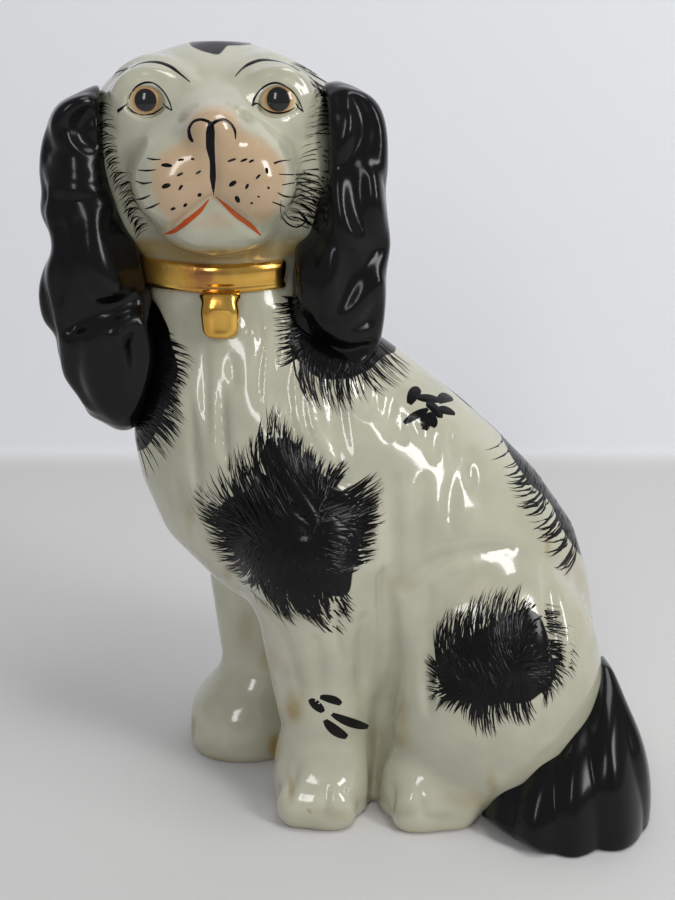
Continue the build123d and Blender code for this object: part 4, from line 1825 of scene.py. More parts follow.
@dataclass(frozen=True)
class Fringe:
    """Short brushed hairs from one line of a view towards another."""

    roots: Sequence[Pixel]
    tips: Sequence[Pixel]
    count: int
    width: float = 0.42
    bend: float = 0.06
    behind: float = 0.3
    ragged: float = 0.45
    view: "PhotoView | SideView" = PHOTO


@dataclass(frozen=True)
class Line:
    """One brushed line, with its width at each place, in the view's pixels."""

    path: Sequence[Pixel]
    widths: Sequence[float]
    view: "PhotoView | SideView" = PHOTO


def dab(start: Pixel, middle: Pixel, end: Pixel, width: float) -> Line:
    """One round-ended touch of the brush.

    Args:
        start: Where it starts.
        middle: What it bends towards.
        end: Where it ends.
        width: Its full width.

    Returns:
        The touch as a line.
    """
    shares = np.linspace(0, 1, 9)[:, None]
    first, turn, last = (np.array(place, dtype=np.float64) for place in (start, middle, end))
    path = (1 - shares) ** 2 * first + 2 * shares * (1 - shares) * turn + shares**2 * last
    return Line([tuple(row) for row in path],
        list(width * np.sqrt(np.sin(math.pi * (0.06 + 0.88 * shares[:, 0])))))


def search_tree(skins: Sequence["Skin"]) -> BVHTree:
    """A search tree over several surfaces, in millimetres.

    Args:
        skins: The surfaces.

    Returns:
        The tree.
    """
    points, quads, start = [], [], 0
    for skin in skins:
        points.extend(skin.points.tolist())
        quads.extend((skin.quads + start).tolist())
        start += len(skin.points)
    return BVHTree.FromPolygons(points, quads)


def touch(tree: BVHTree, view: "PhotoView | SideView", pixel: Pixel) -> Optional[tuple[Vector, Vector]]:
    """Place and outward direction where a sight line meets the surface, if it does.

    Args:
        tree: The surface, in millimetres.
        view: The view that the pixels belong to.
        pixel: A pixel of the view.

    Returns:
        Place and direction, or None.
    """
    start, toward = view.ray(pixel)
    place, normal, _, _ = tree.ray_cast(Vector(start), Vector(toward))
    if place is None:
        return None
    return place, (normal if normal.dot(Vector(toward)) < 0 else -normal)


def along_line(line: Sequence[Pixel], share: float) -> np.ndarray:
    """The place at a share of the way along a line's corners.

    Args:
        line: Pixels along the line.
        share: From 0 at its start to 1 at its end.

    Returns:
        A pixel.
    """
    table = np.array(line, dtype=np.float64)
    at = share * (len(table) - 1)
    index = min(int(at), len(table) - 2)
    return table[index] + (table[index + 1] - table[index]) * (at - index)


def halo(outline: Sequence[Pixel], grow: float, sweep: float) -> list[Pixel]:
    """A closed outline drawn outwards from its middle and swept round it.

    Args:
        outline: Corners of the outline.
        grow: Scale outwards.
        sweep: How far it turns as it goes out.

    Returns:
        The new outline's pixels.
    """
    table = smooth_path(outline)
    middle = table[:-1].mean(0)
    away = table - middle
    turned = np.stack([away[:, 0] - sweep * away[:, 1], away[:, 1] + sweep * away[:, 0]], axis=1)
    return [tuple(row) for row in middle + turned * grow]


class Brush:
    """Lays thin raised strokes of enamel on a surface."""

    longest: float = 34.0
    shortest: float = 0.4
    lift: float = 0.00007
    thickness: float = 0.00008
    # Place across a line, as a share of its half width, and height of its four edges
    ribbon: tuple = ((-1.0, 0.02), (0.0, -0.25), (1.0, 0.02), (0.0, 0.1))

    def __init__(self, seed: int) -> None:
        """Starts with its own fixed seed.

        Args:
            seed: Seed of its random draws.
        """
        self.spread = np.random.default_rng(seed)
        self.tree = self.hair_tree()
        self.leaf = self.leaf_object()

    @staticmethod
    def leaf_object() -> bpy.types.Object:
        """The closed leaf that every hair is an instance of: t along X, s across Y and h up Z.

        Returns:
            The leaf.
        """
        verts, faces, stations = [(0.0, 0.0, 0.0)], [], (0.1, 0.32, 0.6, 0.85)
        for t in stations:
            verts += [(t, -1.0, 0.0), (t, 0.0, -1.5), (t, 1.0, 0.0), (t, 0.0, 1.0)]
        verts.append((1.0, 0.0, 0.0))
        for side in range(4):
            other = (side + 1) % 4
            faces.append((0, 1 + other, 1 + side))
            for ring in range(len(stations) - 1):
                start, end = 1 + 4 * ring, 5 + 4 * ring
                faces.append((start + side, start + other, end + other, end + side))
            faces.append((len(verts) - 1, 4 * len(stations) - 3 + side, 4 * len(stations) - 3 + other))
        mesh = bpy.data.meshes.new("hair_leaf")
        mesh.from_pydata([(0.0, 0.0, 0.0)] * len(verts), [], faces)
        for index, name in enumerate(("t", "s", "h")):
            layer = mesh.attributes.new(name, "FLOAT", "POINT")
            layer.data.foreach_set("value", [vert[index] for vert in verts])
        return new_object("hair_leaf", mesh)

    @staticmethod
    def hair_tree() -> bpy.types.NodeTree:
        """Geometry nodes that turn points with a direction, length and width into strokes on a surface.

        Returns:
            The node tree.
        """
        tree = bpy.data.node_groups.new("brushed_hair", "GeometryNodeTree")
        for name, kind in (
            ("Geometry", "NodeSocketGeometry"), ("Leaf", "NodeSocketObject"), ("Surface", "NodeSocketObject"),
            ("Lift", "NodeSocketFloat"), ("Thickness", "NodeSocketFloat"), ("Paint", "NodeSocketMaterial"),
        ):
            tree.interface.new_socket(name, in_out="INPUT", socket_type=kind)
        tree.interface.new_socket("Geometry", in_out="OUTPUT", socket_type="NodeSocketGeometry")
        nodes = Nodes(tree)
        source, target = nodes.add("NodeGroupInput"), nodes.add("NodeGroupOutput")

        def read(name: str, kind: str = "FLOAT") -> bpy.types.NodeSocket:
            """A named attribute's value."""
            return nodes.add("GeometryNodeInputNamedAttribute", {"data_type": kind}, Name=name).outputs[0]

        leaf = nodes.add("GeometryNodeObjectInfo", None, Object=source.outputs["Leaf"]).outputs["Geometry"]
        skin = nodes.add("GeometryNodeObjectInfo", None, Object=source.outputs["Surface"]).outputs["Geometry"]
        placed = nodes.add(
            "GeometryNodeInstanceOnPoints", None, Points=source.outputs["Geometry"], Instance=leaf
        ).outputs[0]
        real = nodes.add("GeometryNodeRealizeInstances", None, Geometry=placed).outputs[0]
        t, belly = read("t"), read("belly")
        rest, blunt = nodes.math("SUBTRACT", 1.0, t), nodes.math("SUBTRACT", 1.0, belly)
        taper = nodes.math("MINIMUM", nodes.math("DIVIDE", t, belly), nodes.math("DIVIDE", rest, blunt))
        taper = nodes.math("POWER", nodes.math("MAXIMUM", taper, 0.0), 0.7)
        side = nodes.math("MULTIPLY", nodes.math("MULTIPLY", read("s"), taper), read("width"))
        arch = nodes.math("MULTIPLY", nodes.math("MULTIPLY", t, rest), 4.0)
        sway = nodes.math("MULTIPLY", nodes.math("MULTIPLY", arch, read("bend")), read("length"))
        across = nodes.vector("SCALE", read("across", "FLOAT_VECTOR"), nodes.math("ADD", side, sway))
        reach = nodes.vector("SCALE", read("along", "FLOAT_VECTOR"),
            nodes.math("MULTIPLY", t, read("length")))
        flat = nodes.vector("ADD", read("origin", "FLOAT_VECTOR"), nodes.vector("ADD", reach, across))
        near = nodes.add("GeometryNodeProximity", {"target_element": "FACES"}, i0=skin, Sample_Position=flat)
        normal = nodes.add("GeometryNodeInputNormal").outputs[0]
        facing = nodes.add("GeometryNodeSampleNearestSurface", {"data_type": "FLOAT_VECTOR"}, Mesh=skin,
            Value=normal)
        nodes.feed(facing, "Sample Position", flat)
        height = nodes.math("ADD", nodes.math("MULTIPLY", read("h"), source.outputs["Thickness"]),
            source.outputs["Lift"])
        lifted = nodes.vector("ADD", near.outputs["Position"],
            nodes.vector("SCALE", facing.outputs[0], height))
        moved = nodes.add("GeometryNodeSetPosition", None, Geometry=real, Position=lifted).outputs[0]
        solid = nodes.add("GeometryNodeRealizeInstances", None, Geometry=moved).outputs[0]
        painted = nodes.add("GeometryNodeSetMaterial", None, Geometry=solid, Material=source.outputs["Paint"])
        nodes.feed(target, "i0", painted.outputs[0])
        return tree

    def comb(
        self, name: str, surface: bpy.types.Object, search: BVHTree, fringes: Sequence[Fringe],
        paint: bpy.types.Material,
    ) -> bpy.types.Object:
        """Brushes rows of hairs on a surface.

        Args:
            name: The piece's name.
            surface: The object that carries the hairs.
            search: The same surface in millimetres.
            fringes: The rows.
            paint: The enamel.

        Returns:
            One closed mesh of strokes.
        """
        rows: dict[str,
            list] = {key: [] for key in ("origin", "along", "across", "length", "width", "bend", "belly")}
        for fringe in fringes:
            for index in range(fringe.count):
                share = (index + self.spread.uniform(0, 1)) / fringe.count
                root, tip = along_line(fringe.roots, share), along_line(fringe.tips, share)
                run = tip - root
                sideways = np.array([-run[1], run[0]]) * self.spread.uniform(-0.12, 0.12)
                tip = root + run * (1.08 - fringe.ragged * self.spread.uniform(0, 1) ** 1.5) + sideways
                root = root - run * (0.15 + 2 * fringe.behind * self.spread.uniform(0, 1))
                start, end = touch(search, fringe.view, root), touch(search, fringe.view, tip)
                if start is None or end is None:
                    continue
                reach = end[0] - start[0]
                if reach.length > self.longest or reach.length < self.shortest:
                    continue
                toward = reach.normalized()
                across = start[1].cross(toward).normalized()
                rows["origin"].append([value * MM for value in start[0]])
                rows["along"].append(list(toward))
                rows["across"].append(list(across))
                rows["length"].append(reach.length * MM)
                rows["width"].append(fringe.width * self.spread.uniform(0.8, 2.3) / 2 * MM)
                rows["bend"].append(fringe.bend * self.spread.uniform(0.8, 2.6))
                rows["belly"].append(self.spread.uniform(0.22, 0.4))
        mesh = bpy.data.meshes.new(f"{name}_roots")
        mesh.from_pydata(rows["origin"], [], [])
        for key, values in rows.items():
            kind = "FLOAT_VECTOR" if key in ("origin", "along", "across") else "FLOAT"
            layer = mesh.attributes.new(key, kind, "POINT")
            layer.data.foreach_set("vector" if kind == "FLOAT_VECTOR" else "value", np.ravel(values))
        holder = new_object(f"{name}_roots", mesh)
        modifier = holder.modifiers.new("hair", "NODES")
        modifier.node_group = self.tree
        given = {"Leaf": self.leaf, "Surface": surface, "Lift": self.lift, "Thickness": self.thickness,
            "Paint": paint}
        for item in self.tree.interface.items_tree:
            if item.in_out == "INPUT" and item.name in given:
                modifier[item.identifier] = given[item.name]
        state = bpy.context.evaluated_depsgraph_get()
        made = bpy.data.meshes.new_from_object(holder.evaluated_get(state))
        made.name = name
        for key in list(rows) + ["t", "s", "h"]:
            if key in made.attributes:
                made.attributes.remove(made.attributes[key])
        bpy.data.objects.remove(holder)
        return new_object(name, made)

    def draw(self, name: str, search: BVHTree, lines: Sequence[Line]) -> bpy.types.Object:
        """Draws single brushed lines, as closed ribbons that lie on the surface.

        Args:
            name: The piece's name.
            search: The surface in millimetres.
            lines: The lines.

        Returns:
            One closed mesh of ribbons.
        """
        verts: list = []
        faces: list = []
        for line in lines:
            path = smooth_path(line.path, 5)
            widths = np.interp(np.linspace(0, 1, len(path)), np.linspace(0, 1, len(line.widths)), line.widths)
            hits = [(touch(search, line.view, pixel), width) for pixel, width in zip(path, widths)]
            hits = [(hit, width) for hit, width in hits if hit is not None]
            if len(hits) < 3:
                continue
            places = np.array([hit[0] for hit, _ in hits])
            normals = np.array([hit[1] for hit, _ in hits])
            for _ in range(3):
                normals[1:-1] = (normals[:-2] + normals[1:-1] * 2 + normals[2:]) / 4
            runs = np.gradient(places, axis=0)
            sides = np.cross(normals, runs)
            sides /= np.maximum(np.linalg.norm(sides, axis=1, keepdims=True), 1e-9)
            normals /= np.maximum(np.linalg.norm(normals, axis=1, keepdims=True), 1e-9)
            base = len(verts)
            for index, (_, width) in enumerate(hits):
                scale = 1.0
                if isinstance(line.view, PhotoView):
                    scale = float(np.linalg.norm(places[index] - np.array(line.view.place))) / line.view.focal
                half = width * scale / 2
                spots = []
                for sway, rise in self.ribbon:
                    spot = places[index] + sides[index] * half * sway
                    near, normal, _, _ = search.find_nearest(Vector(spot))
                    toward = np.array(normal)
                    if toward @ normals[index] < 0:
                        toward = -toward
                    spots.append(tuple((np.array(near) + toward * rise) * MM))
                verts.extend(spots)
            rings = len(hits)
            for ring in range(rings - 1):
                for side in range(4):
                    other = (side + 1) % 4
                    start = base + 4 * ring
                    faces.append((start + side, start + other, start + 4 + other, start + 4 + side))
            faces.append((base + 3, base + 2, base + 1, base))
            last = base + 4 * (rings - 1)
            faces.append((last, last + 1, last + 2, last + 3))
        mesh = bpy.data.meshes.new(name)
        mesh.from_pydata(verts, [], faces)
        return new_object(name, mesh)

    def finish(self) -> None:
        """Puts the leaf away."""
        bpy.data.objects.remove(self.leaf)


SHOULDER_HAIR = (
    Fringe(
        ((236, 516), (246, 502), (262, 490), (274, 474), (284, 456), (296, 456), (312, 472), (328, 486),
            (338, 496)),
        ((193, 490), (228, 458), (240, 444), (260, 429), (272, 404), (286, 424), (308, 438), (327, 460),
            (358, 462)),
        190, 0.5, 0.08, 0.5,
    ),
    Fringe(
        ((336, 492), (344, 502), (354, 510), (358, 520), (356, 532), (352, 543), (348, 556), (342, 572)),
        ((378, 472), (384, 484), (384, 500), (385, 515), (381, 531), (379, 545), (374, 558), (358, 568)),
        130, 0.5, -0.05, 0.5,
    ),
    Fringe(
        ((344, 566), (338, 580), (328, 586), (316, 584), (306, 590), (298, 584), (288, 588), (276, 580),
            (264, 572)),
        ((362, 612), (352, 632), (340, 634), (326, 630), (314, 620), (300, 618), (293, 626), (279, 616),
            (258, 602)),
        170, 0.55, -0.1, 0.6,
    ),
    Fringe(
        ((262, 570), (250, 562), (240, 552), (232, 540), (228, 530), (228, 518), (236, 510)),
        ((258, 596), (238, 578), (222, 565), (208, 547), (203, 526), (195, 508), (190, 490)),
        120, 0.5, 0.08, 0.5,
    ),
)
HAUNCH_HAIR = (
    Fringe(
        ((444, 664), (456, 660), (466, 658), (476, 652), (487, 646), (498, 640), (508, 634), (518, 628),
            (527, 628)),
        ((436, 624), (450, 611), (459, 607), (471, 599), (482, 595), (494, 587), (505, 590), (520, 583),
            (535, 603)),
        140, 0.5, 0.08, 0.45,
    ),
    Fringe(
        ((530, 632), (534, 642), (538, 654), (544, 664), (546, 674), (542, 684), (534, 694)),
        ((558, 606), (572, 622), (574, 645), (578, 663), (573, 681), (560, 694), (540, 714)),
        90, 0.45, 0.14, 0.45,
    ),
    Fringe(
        ((532, 698), (522, 700), (508, 700), (494, 702), (484, 702), (470, 702), (456, 698), (448, 692)),
        ((537, 718), (526, 727), (510, 722), (493, 738), (479, 736), (462, 716), (436, 712), (428, 700)),
        90, 0.45, -0.06, 0.45,
    ),
    Fringe(
        ((446, 692), (444, 682), (442, 672), (446, 662)), ((428, 700), (426, 684), (423, 664), (428, 650)),
        44, 0.45, 0.05, 0.5,
    ),
)
CHEST_HAIR = (
    Fringe(
        ((146, 312), (152, 330), (160, 345), (166, 362), (164, 378), (160, 392), (162, 405), (158, 418),
            (152, 430),
         (146, 440), (136, 448)),
        ((166, 320), (172, 336), (186, 348), (195, 366), (186, 386), (180, 400), (188, 418), (180, 434),
            (174, 450),
         (164, 462), (142, 484)),
        190, 0.5, 0.06, 0.5,
    ),
    Fringe(
        ((302, 362), (316, 374), (330, 376), (345, 376), (356, 372), (366, 366), (378, 356), (390, 350)),
        ((310, 402), (320, 410), (334, 412), (345, 418), (362, 404), (386, 393), (405, 381), (414, 372)),
        96, 0.38, -0.06, 0.4,
    ),
    Fringe(((289, 298), (290, 320), (291, 340), (294, 358)), ((270, 301), (273, 322), (275, 345), (278, 368)),
        46, 0.4, 0.05, 0.3),
    Fringe(
        ((490, 424), (508, 450), (526, 476), (542, 500), (558, 526), (574, 552)),
        ((476, 434), (492, 462), (508, 490), (524, 516), (540, 544), (562, 578)),
        170, 0.62, 0.08, 0.5,
    ),
)
CHEEK_HAIR = (
    Fringe(
        ((99, 104), (100, 126), (104, 146), (110, 164), (117, 182), (125, 202), (133, 219), (141, 236)),
        ((112, 100), (116, 120), (117, 142), (119, 157), (127, 174), (138, 198), (142, 212), (151, 228)),
        84, 0.24, 0.08, 0.2, 0.6,
    ),
    Fringe(
        ((326, 96), (328, 116), (329, 138), (328, 160), (325, 180), (320, 200), (313, 216), (306, 228)),
        ((309, 93), (308, 116), (305, 138), (300, 158), (294, 176), (293, 190), (286, 204), (286, 222)),
        80, 0.24, -0.06, 0.2, 0.6,
    ),
    Fringe(((318, 190), (314, 204), (308, 216), (300, 226)), ((296, 186), (291, 196), (288, 204), (286, 214)),
        14, 0.3, -0.12, 0.2),
    Fringe(((98, 98), (100, 90), (108, 80), (118, 72)), ((116, 86), (120, 78), (126, 70), (134, 63)), 30,
        0.24, 0.05, 0.3),
    Fringe(((327, 94), (326, 84), (316, 75), (304, 66)), ((308, 82), (304, 72), (296, 63), (284, 56)), 34,
        0.24, 0.05, 0.3),
)
FACE_LINES = (
    Line(((131, 68), (140, 63.5), (150, 61.8), (160, 62.7), (171, 67), (181, 74.5), (190, 82)),
        (0.8, 3, 4, 4.6, 4.6, 2.2, 1)),
    Line(((235, 76.5), (242, 69), (250, 63.6), (262, 60), (276, 61), (288, 64.4), (300, 71)),
        (1, 2.2, 4.4, 5.2, 4.6, 2.6, 1)),
    Line(((211, 124), (207, 121), (200, 119.5), (193, 122), (189, 129), (190, 137), (193, 142)),
        (4, 3, 3, 3.6, 4.6, 5.4, 3)),
    Line(((212, 124), (217, 121), (224, 119.5), (231, 124), (235, 131), (235.5, 139)),
        (4, 3, 3, 3.2, 3.2, 1)),
    Line(((211, 122), (210.5, 133), (210.5, 147), (212.5, 161), (213, 178), (213.6, 195)),
        (5, 9, 8.6, 5.6, 6.4, 1)),
    Line(((117.5, 111.5), (122, 108), (127.5, 103.5)), (3.6, 2.6, 0.8)),
    Line(((129, 99), (132, 92), (138, 85.5), (147, 82.3), (156, 84.5), (164, 92), (169, 101), (172, 110)),
        (1, 1.6, 2, 2, 1.8, 1.6, 1.6, 1)),
    Line(((128, 107), (134, 112.5), (142, 115), (150, 114.5), (157, 111.5), (163, 107)),
        (1.4, 2.2, 2.2, 2, 1.8, 1)),
    Line(((163, 103.5), (167, 107.5), (172, 110.5)), (1, 1.8, 1.2)),
    Line(((252.4, 106), (254.6, 98), (260, 90.5), (267, 85), (276, 82.8), (285, 86), (293, 92), (299, 101),
        (303, 111)), (2.4, 2, 1.8, 2, 2, 1.6, 1.6, 1.4, 1)),
    Line(((252.4, 105), (256, 103.4), (260.5, 104.5)), (2.6, 2.2, 0.8)),
    Line(((260, 105), (265, 109.4), (272, 112.4), (280, 113), (288, 111.3), (295, 107.5)),
        (1.2, 1.8, 2.2, 2.2, 1.8, 1)),
    Line(((295.5, 103), (299, 108), (303.4, 111.6)), (1, 1.8, 1.2)),
    Line(((161, 47.6), (167, 46), (173, 45.6)), (0.8, 1.8, 0.8)),
    Line(((248, 43.2), (254, 44), (261, 46.2)), (0.8, 1.8, 0.8)),
    Line(((146.8, 158), (153, 159.4), (160.6, 159.4)), (0.8, 2, 0.8)),
    Line(((138, 170), (147, 170.6), (156, 169.8)), (0.8, 2, 0.8)),
    Line(((135.6, 181), (143, 183.4), (152, 182.3)), (0.8, 2.2, 0.8)),
    Line(((135.6, 199.6), (143, 198.4), (150.2, 195.2)), (0.8, 2.4, 0.8)),
    Line(((145, 209), (152, 206.8), (159.7, 203)), (0.8, 2.4, 0.8)),
    Line(((274, 163.4), (281, 161), (290, 160)), (2.2, 1.6, 0.6)),
    Line(((279, 174.2), (293, 174.6), (309, 173)), (1, 1.3, 0.6)),
    Line(((282, 185), (297, 182.4), (314, 182.6)), (1, 1.4, 0.6)),
    Line(((277.6, 192.6), (284, 196), (293, 197), (305, 194.6)), (1, 1.8, 1.4, 0.6)),
    Line(((272.4, 202), (279, 204.4), (285, 207)), (1, 1.8, 0.8)),
    Line(((281, 200), (281, 213), (287, 223), (297, 227), (306, 222)), (0.6, 1, 1.6, 2.4, 1.6)),
    Line(((284, 212), (290, 219), (299, 221)), (0.6, 1.4, 1)),
)
# Start, end and width of each spot, in the photograph's pixels
SPOTS = (
    (161.5, 165, 172, 166, 4), (178, 160.5, 184, 159.5, 2.4), (190.7, 159, 194.4, 159.6, 2.2),
    (177, 176, 183, 173, 2.6), (196, 174, 201, 171, 2.4), (162, 187.6, 170.5, 184.6, 4.6),
    (179, 190, 182.6, 185, 2.8), (198, 196.4, 201.4, 194, 4), (171, 210, 175.4, 208, 3.4),
    (184, 207, 186.8, 203.6, 3.6), (227.7, 161.7, 236, 159, 2.4), (240.6, 161.7, 247.5, 159, 2.4),
    (249, 162.5, 254, 160, 2.4), (266.4, 167.7, 267.3, 173.7, 3.2), (256, 179, 260.4, 174.6, 2.4),
    (229.4, 186, 236.3, 181.5, 4.4), (245.8, 189, 248.4, 184, 3), (267.3, 187, 269.4, 189, 2.2),
    (236, 196, 238.6, 202.6, 5), (257.4, 197, 259.8, 197, 2), (250.6, 203.8, 253, 203, 2.4),
)
MOUTH_LINES = (
    Line(((208.8, 199.5), (200, 210.5), (186, 222), (174, 231), (162, 234.6)), (1.2, 4.4, 6, 4.6, 0.8)),
    Line(((215.6, 196.5), (226, 205.6), (238, 216), (250, 224.8), (261, 235.7)), (1.2, 4.6, 6.6, 6.2, 1.2)),
)
BODY_LINES = (
    Line(((168, 543), (177, 547.4), (186.5, 553)), (0.8, 2.2, 0.8)),
    dab((409, 404), (414, 390), (420, 389), 12.2),
    dab((417, 398), (430, 398), (440, 400), 10.8),
    dab((438, 402), (446, 394), (453, 399), 12.2),
    dab((438, 411), (446, 408), (455, 414), 10.8),
    dab((404, 423), (415, 415), (428, 409), 8.1),
    dab((426, 404), (438, 408), (440, 418), 13.5),
    dab((422, 410), (428, 420), (424, 430), 12.2),
    dab((430, 412), (434, 420), (432, 427), 12.2),
    dab((310, 699), (316, 705), (323, 712), 10.8),
    dab((320, 697), (332, 698), (341, 704), 9.5),
    dab((332, 714), (350, 724), (368, 727), 9.5),
    dab((325, 720), (334, 732), (347, 737), 10.8),
)


@dataclass(frozen=True)
class Studio:
    """Pale table and wall, soft lamps and the camera."""

    wall_depth: float = 0.335
    half_width: float = 3.0
    near_edge: float = -2.5
    top_edge: float = 3.0
    cove: float = 0.012
    table: Colour = rgb(214, 213, 211)
    wall: Colour = rgb(240, 241, 244)
    aim: Point = (-0.03, 0.0, 0.12)
    # Name, place, size and power
    lamps: tuple = (
        ("overhead_panel", (0.25, -0.2, 1.3), (0.55, 0.4), 3.9),
        ("right_window", (0.95, -0.85, 0.8), (0.3, 0.8), 7.6),
        ("left_window", (-0.4, -1.3, 0.85), (0.2, 0.7), 3.0),
    )
    air: Colour = (0.93, 0.95, 1.0, 1.0)
    air_strength: float = 0.36

    def backdrop(self) -> bpy.types.Object:
        """Makes the table and the wall as one curved sheet.

        Returns:
            The sheet.
        """
        start = self.wall_depth - self.cove
        profile = [(self.near_edge, 0.0), (start, 0.0)]
        for step in range(1, 7):
            turn = step / 6 * math.pi / 2
            profile.append((start + self.cove * math.sin(turn), self.cove - self.cove * math.cos(turn)))
        profile.append((self.wall_depth, self.top_edge))
        verts = []
        for depth, height in profile:
            verts.append((-self.half_width, depth, height))
            verts.append((self.half_width, depth, height))
        faces = [(2 * i, 2 * i + 1, 2 * i + 3, 2 * i + 2) for i in range(len(profile) - 1)]
        mesh = bpy.data.meshes.new("table_and_wall")
        mesh.from_pydata(verts, [], faces)
        for face in mesh.polygons:
            face.use_smooth = True
        sheet = new_object("table_and_wall", mesh)
        material = bpy.data.materials.new("pale_backdrop")
        material.use_nodes = True
        nodes = Nodes(material.node_tree)
        shader = material.node_tree.nodes["Principled BSDF"]
        where = nodes.add("ShaderNodeNewGeometry").outputs["Position"]
        height = nodes.add("ShaderNodeSeparateXYZ", None, Vector=where).outputs["Z"]
        nodes.feed(shader, "Base Color", nodes.mix(nodes.ramp(height, 0.001, 0.01), self.table, self.wall))
        shader.inputs["Roughness"].default_value = 0.8
        behind = nodes.add("ShaderNodeNewGeometry").outputs["Backfacing"]
        clear = nodes.add("ShaderNodeBsdfTransparent")
        blend = nodes.add("ShaderNodeMixShader")
        links = material.node_tree.links
        links.new(behind, blend.inputs[0])
        links.new(shader.outputs[0], blend.inputs[1])
        links.new(clear.outputs[0], blend.inputs[2])
        links.new(blend.outputs[0], material.node_tree.nodes["Material Output"].inputs["Surface"])
        mesh.materials.append(material)
        return sheet

    def lamp(self, name: str, place: Point, target: Point, size: Pixel, power: float) -> None:
        """Adds a soft panel of light that faces a target, in metres.

        Args:
            name: Its name.
            place: Where it stands.
            target: Where it points.
            size: Width and height.
            power: Watts.
        """
        light = bpy.data.lights.new(name, "AREA")
        light.shape = "RECTANGLE"
        light.size, light.size_y = size
        light.energy = power
        lamp = new_object(name, light)
        lamp.location = place
        lamp.rotation_euler = (Vector(target) - Vector(place)).to_track_quat("-Z", "Y").to_euler()

    def build(self) -> None:
        """Makes the stage, the lamps, the world and the camera."""
        self.backdrop()
        for name, place, size, power in self.lamps:
            self.lamp(name, place, self.aim, size, power)
        world = bpy.data.worlds.new("studio_air")
        world.use_nodes = True
        background = world.node_tree.nodes["Background"]
        background.inputs["Color"].default_value = self.air
        background.inputs["Strength"].default_value = self.air_strength
        bpy.context.scene.world = world
        camera = bpy.data.cameras.new("photo_camera")
        camera.lens = PHOTO.lens
        camera.sensor_fit = "VERTICAL"
        camera.sensor_height = PHOTO.sensor
        camera.clip_start = 0.01
        holder = new_object("photo_camera", camera)
        holder.location = tuple(value * MM for value in PHOTO.place)
        holder.rotation_euler = (math.pi / 2 - PHOTO.tilt, 0.0, 0.0)
        bpy.context.scene.camera = holder
        bpy.context.scene.view_settings.view_transform = "Standard"


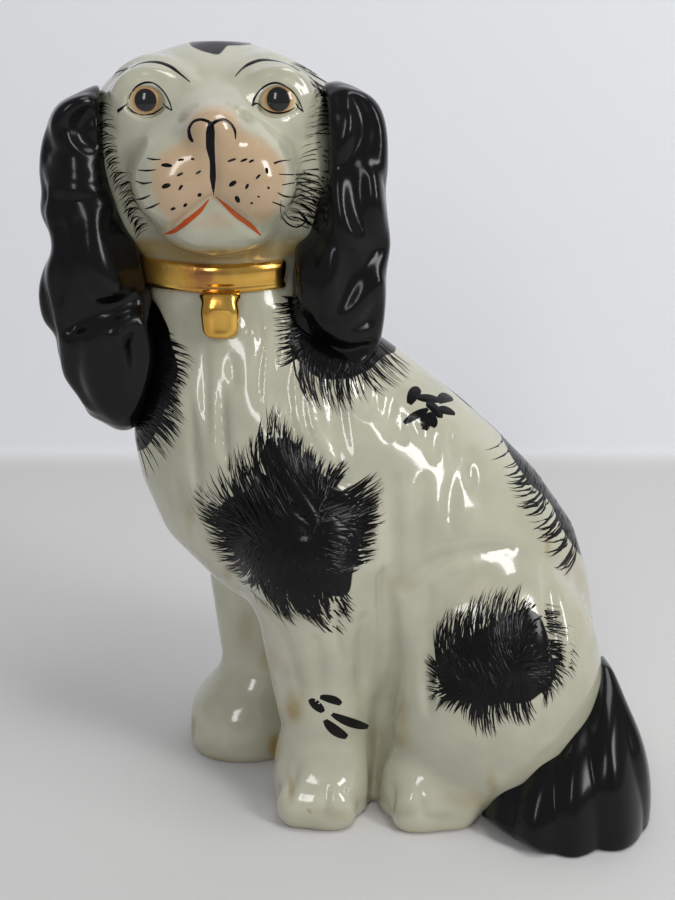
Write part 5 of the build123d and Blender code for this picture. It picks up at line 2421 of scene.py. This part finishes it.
class Figure:
    """The whole figure, piece by piece."""

    def __init__(self) -> None:
        """Makes the finishes that the pieces share."""
        group = glaze_skin_group()
        self.ivory = GlazeFinish("ivory_glaze", rgb(190, 188, 166), rgb(178, 177, 156),
            rgb(152, 124, 50)).build(group)
        self.black = GlazeFinish(
            "black_glaze", rgb(5, 5, 6), rgb(9, 9, 10), rgb(60, 56, 50), 0.17, 0.0, 0.0001, False, 0.26
        ).build(group)
        self.enamel = EnamelFinish("black_enamel", rgb(5, 5, 6), rgb(22, 22, 22)).build(group)
        self.rust = EnamelFinish("rust_enamel", rgb(184, 78, 26), rgb(196, 108, 58)).build(group)
        self.gilt = GiltFinish().build(group)
        self.clay = ClayFinish().build(group)
        self.group = group

    def place(self, piece: bpy.types.Object, slot: Slot, material: bpy.types.Material, *nodes: str) -> None:
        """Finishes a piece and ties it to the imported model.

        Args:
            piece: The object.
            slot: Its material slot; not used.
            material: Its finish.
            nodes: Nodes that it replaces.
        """
        piece.data.materials.clear()
        piece.data.materials.append(material)
        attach(piece, "root")
        if nodes:
            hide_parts(*nodes)
        log.info("%s: %d faces", piece.name, len(piece.data.polygons))

    def build(self) -> None:
        """Makes every piece."""
        body = Body()
        body_piece, body_skin = body.build()
        self.place(
            body_piece, Slot.IVORY, self.ivory, "torso", "left_foreleg", "right_foreleg", "left_forepaw",
            "right_forepaw", "left_haunch", "right_haunch", "left_hind_paw", "right_hind_paw",
        )
        self.place(body.build_slab(), Slot.CLAY, self.clay, "base_slab")
        head = Head()
        head_piece, head_skin = head.build()
        self.place(head_piece, Slot.IVORY, self.ivory, "head", "muzzle")
        skins = [head_skin]
        for name, pixel in zip(("right_eye", "left_eye"), head.eyes):
            finish = EyeFinish(f"{name}_enamel", head.eye_place(pixel)).build(self.group)
            skin = head.eye_skin(f"{name}_ball", pixel)
            skins.append(skin)
            self.place(skin.build(), Slot.EYE, finish, name)
        for ear in (right_ear(), left_ear()):
            self.place(ear.build(), Slot.BLACK, self.black, ear.name)
        self.place(Tail().build(), Slot.BLACK, self.black, "tail")
        collar = Collar()
        self.place(collar.build(), Slot.GILT, self.gilt, "collar")
        self.place(collar.build_padlock(), Slot.GILT, self.gilt, "padlock")
        self.paint(body_piece, body_skin, head_piece, skins)

    def paint(
        self, body_piece: bpy.types.Object, body_skin: "Skin", head_piece: bpy.types.Object, skins: list
    ) -> None:
        """Brushes the enamel on the body and the face.

        Args:
            body_piece: The body.
            body_skin: The body's surface.
            head_piece: The head.
            skins: The head's and the eyeballs' surfaces.
        """
        brush = Brush(7)
        body_tree, head_tree = search_tree([body_skin]), search_tree(skins)
        work = Paintwork()
        far = []
        for outline in (work.far_shoulder, work.far_haunch, work.far_back):
            closed = tuple(outline) + (outline[0],)
            inner, outer = halo(closed, 0.85, 0.0), halo(closed, 1.5, 0.2)
            far.append(Fringe(inner, outer, 260, 0.6, 0.12, 0.2, 0.5, BACK))
        coats = SHOULDER_HAIR + HAUNCH_HAIR + CHEST_HAIR + tuple(far)
        self.place(brush.comb("body_hair", body_piece, body_tree, coats, self.enamel), Slot.BLACK,
            self.enamel)
        self.place(brush.comb("cheek_hair", head_piece, head_tree, CHEEK_HAIR, self.enamel), Slot.BLACK,
            self.enamel)
        spots = tuple(dab((a, b), ((a + c) / 2, (b + d) / 2 - 0.6), (c, d), width) for a, b, c, d,
            width in SPOTS)
        self.place(brush.draw("face_lines", head_tree, FACE_LINES + spots), Slot.BLACK, self.enamel)
        self.place(brush.draw("mouth_lines", head_tree, MOUTH_LINES), Slot.EYE, self.rust)
        self.place(brush.draw("chest_dash", body_tree, BODY_LINES), Slot.BLACK, self.enamel)
        brush.finish()


def main() -> None:
    """Builds the figure and its studio."""
    logging.basicConfig(level=logging.INFO, format="%(message)s")
    Figure().build()
    Studio().build()


if __name__ == "__main__":
    main()
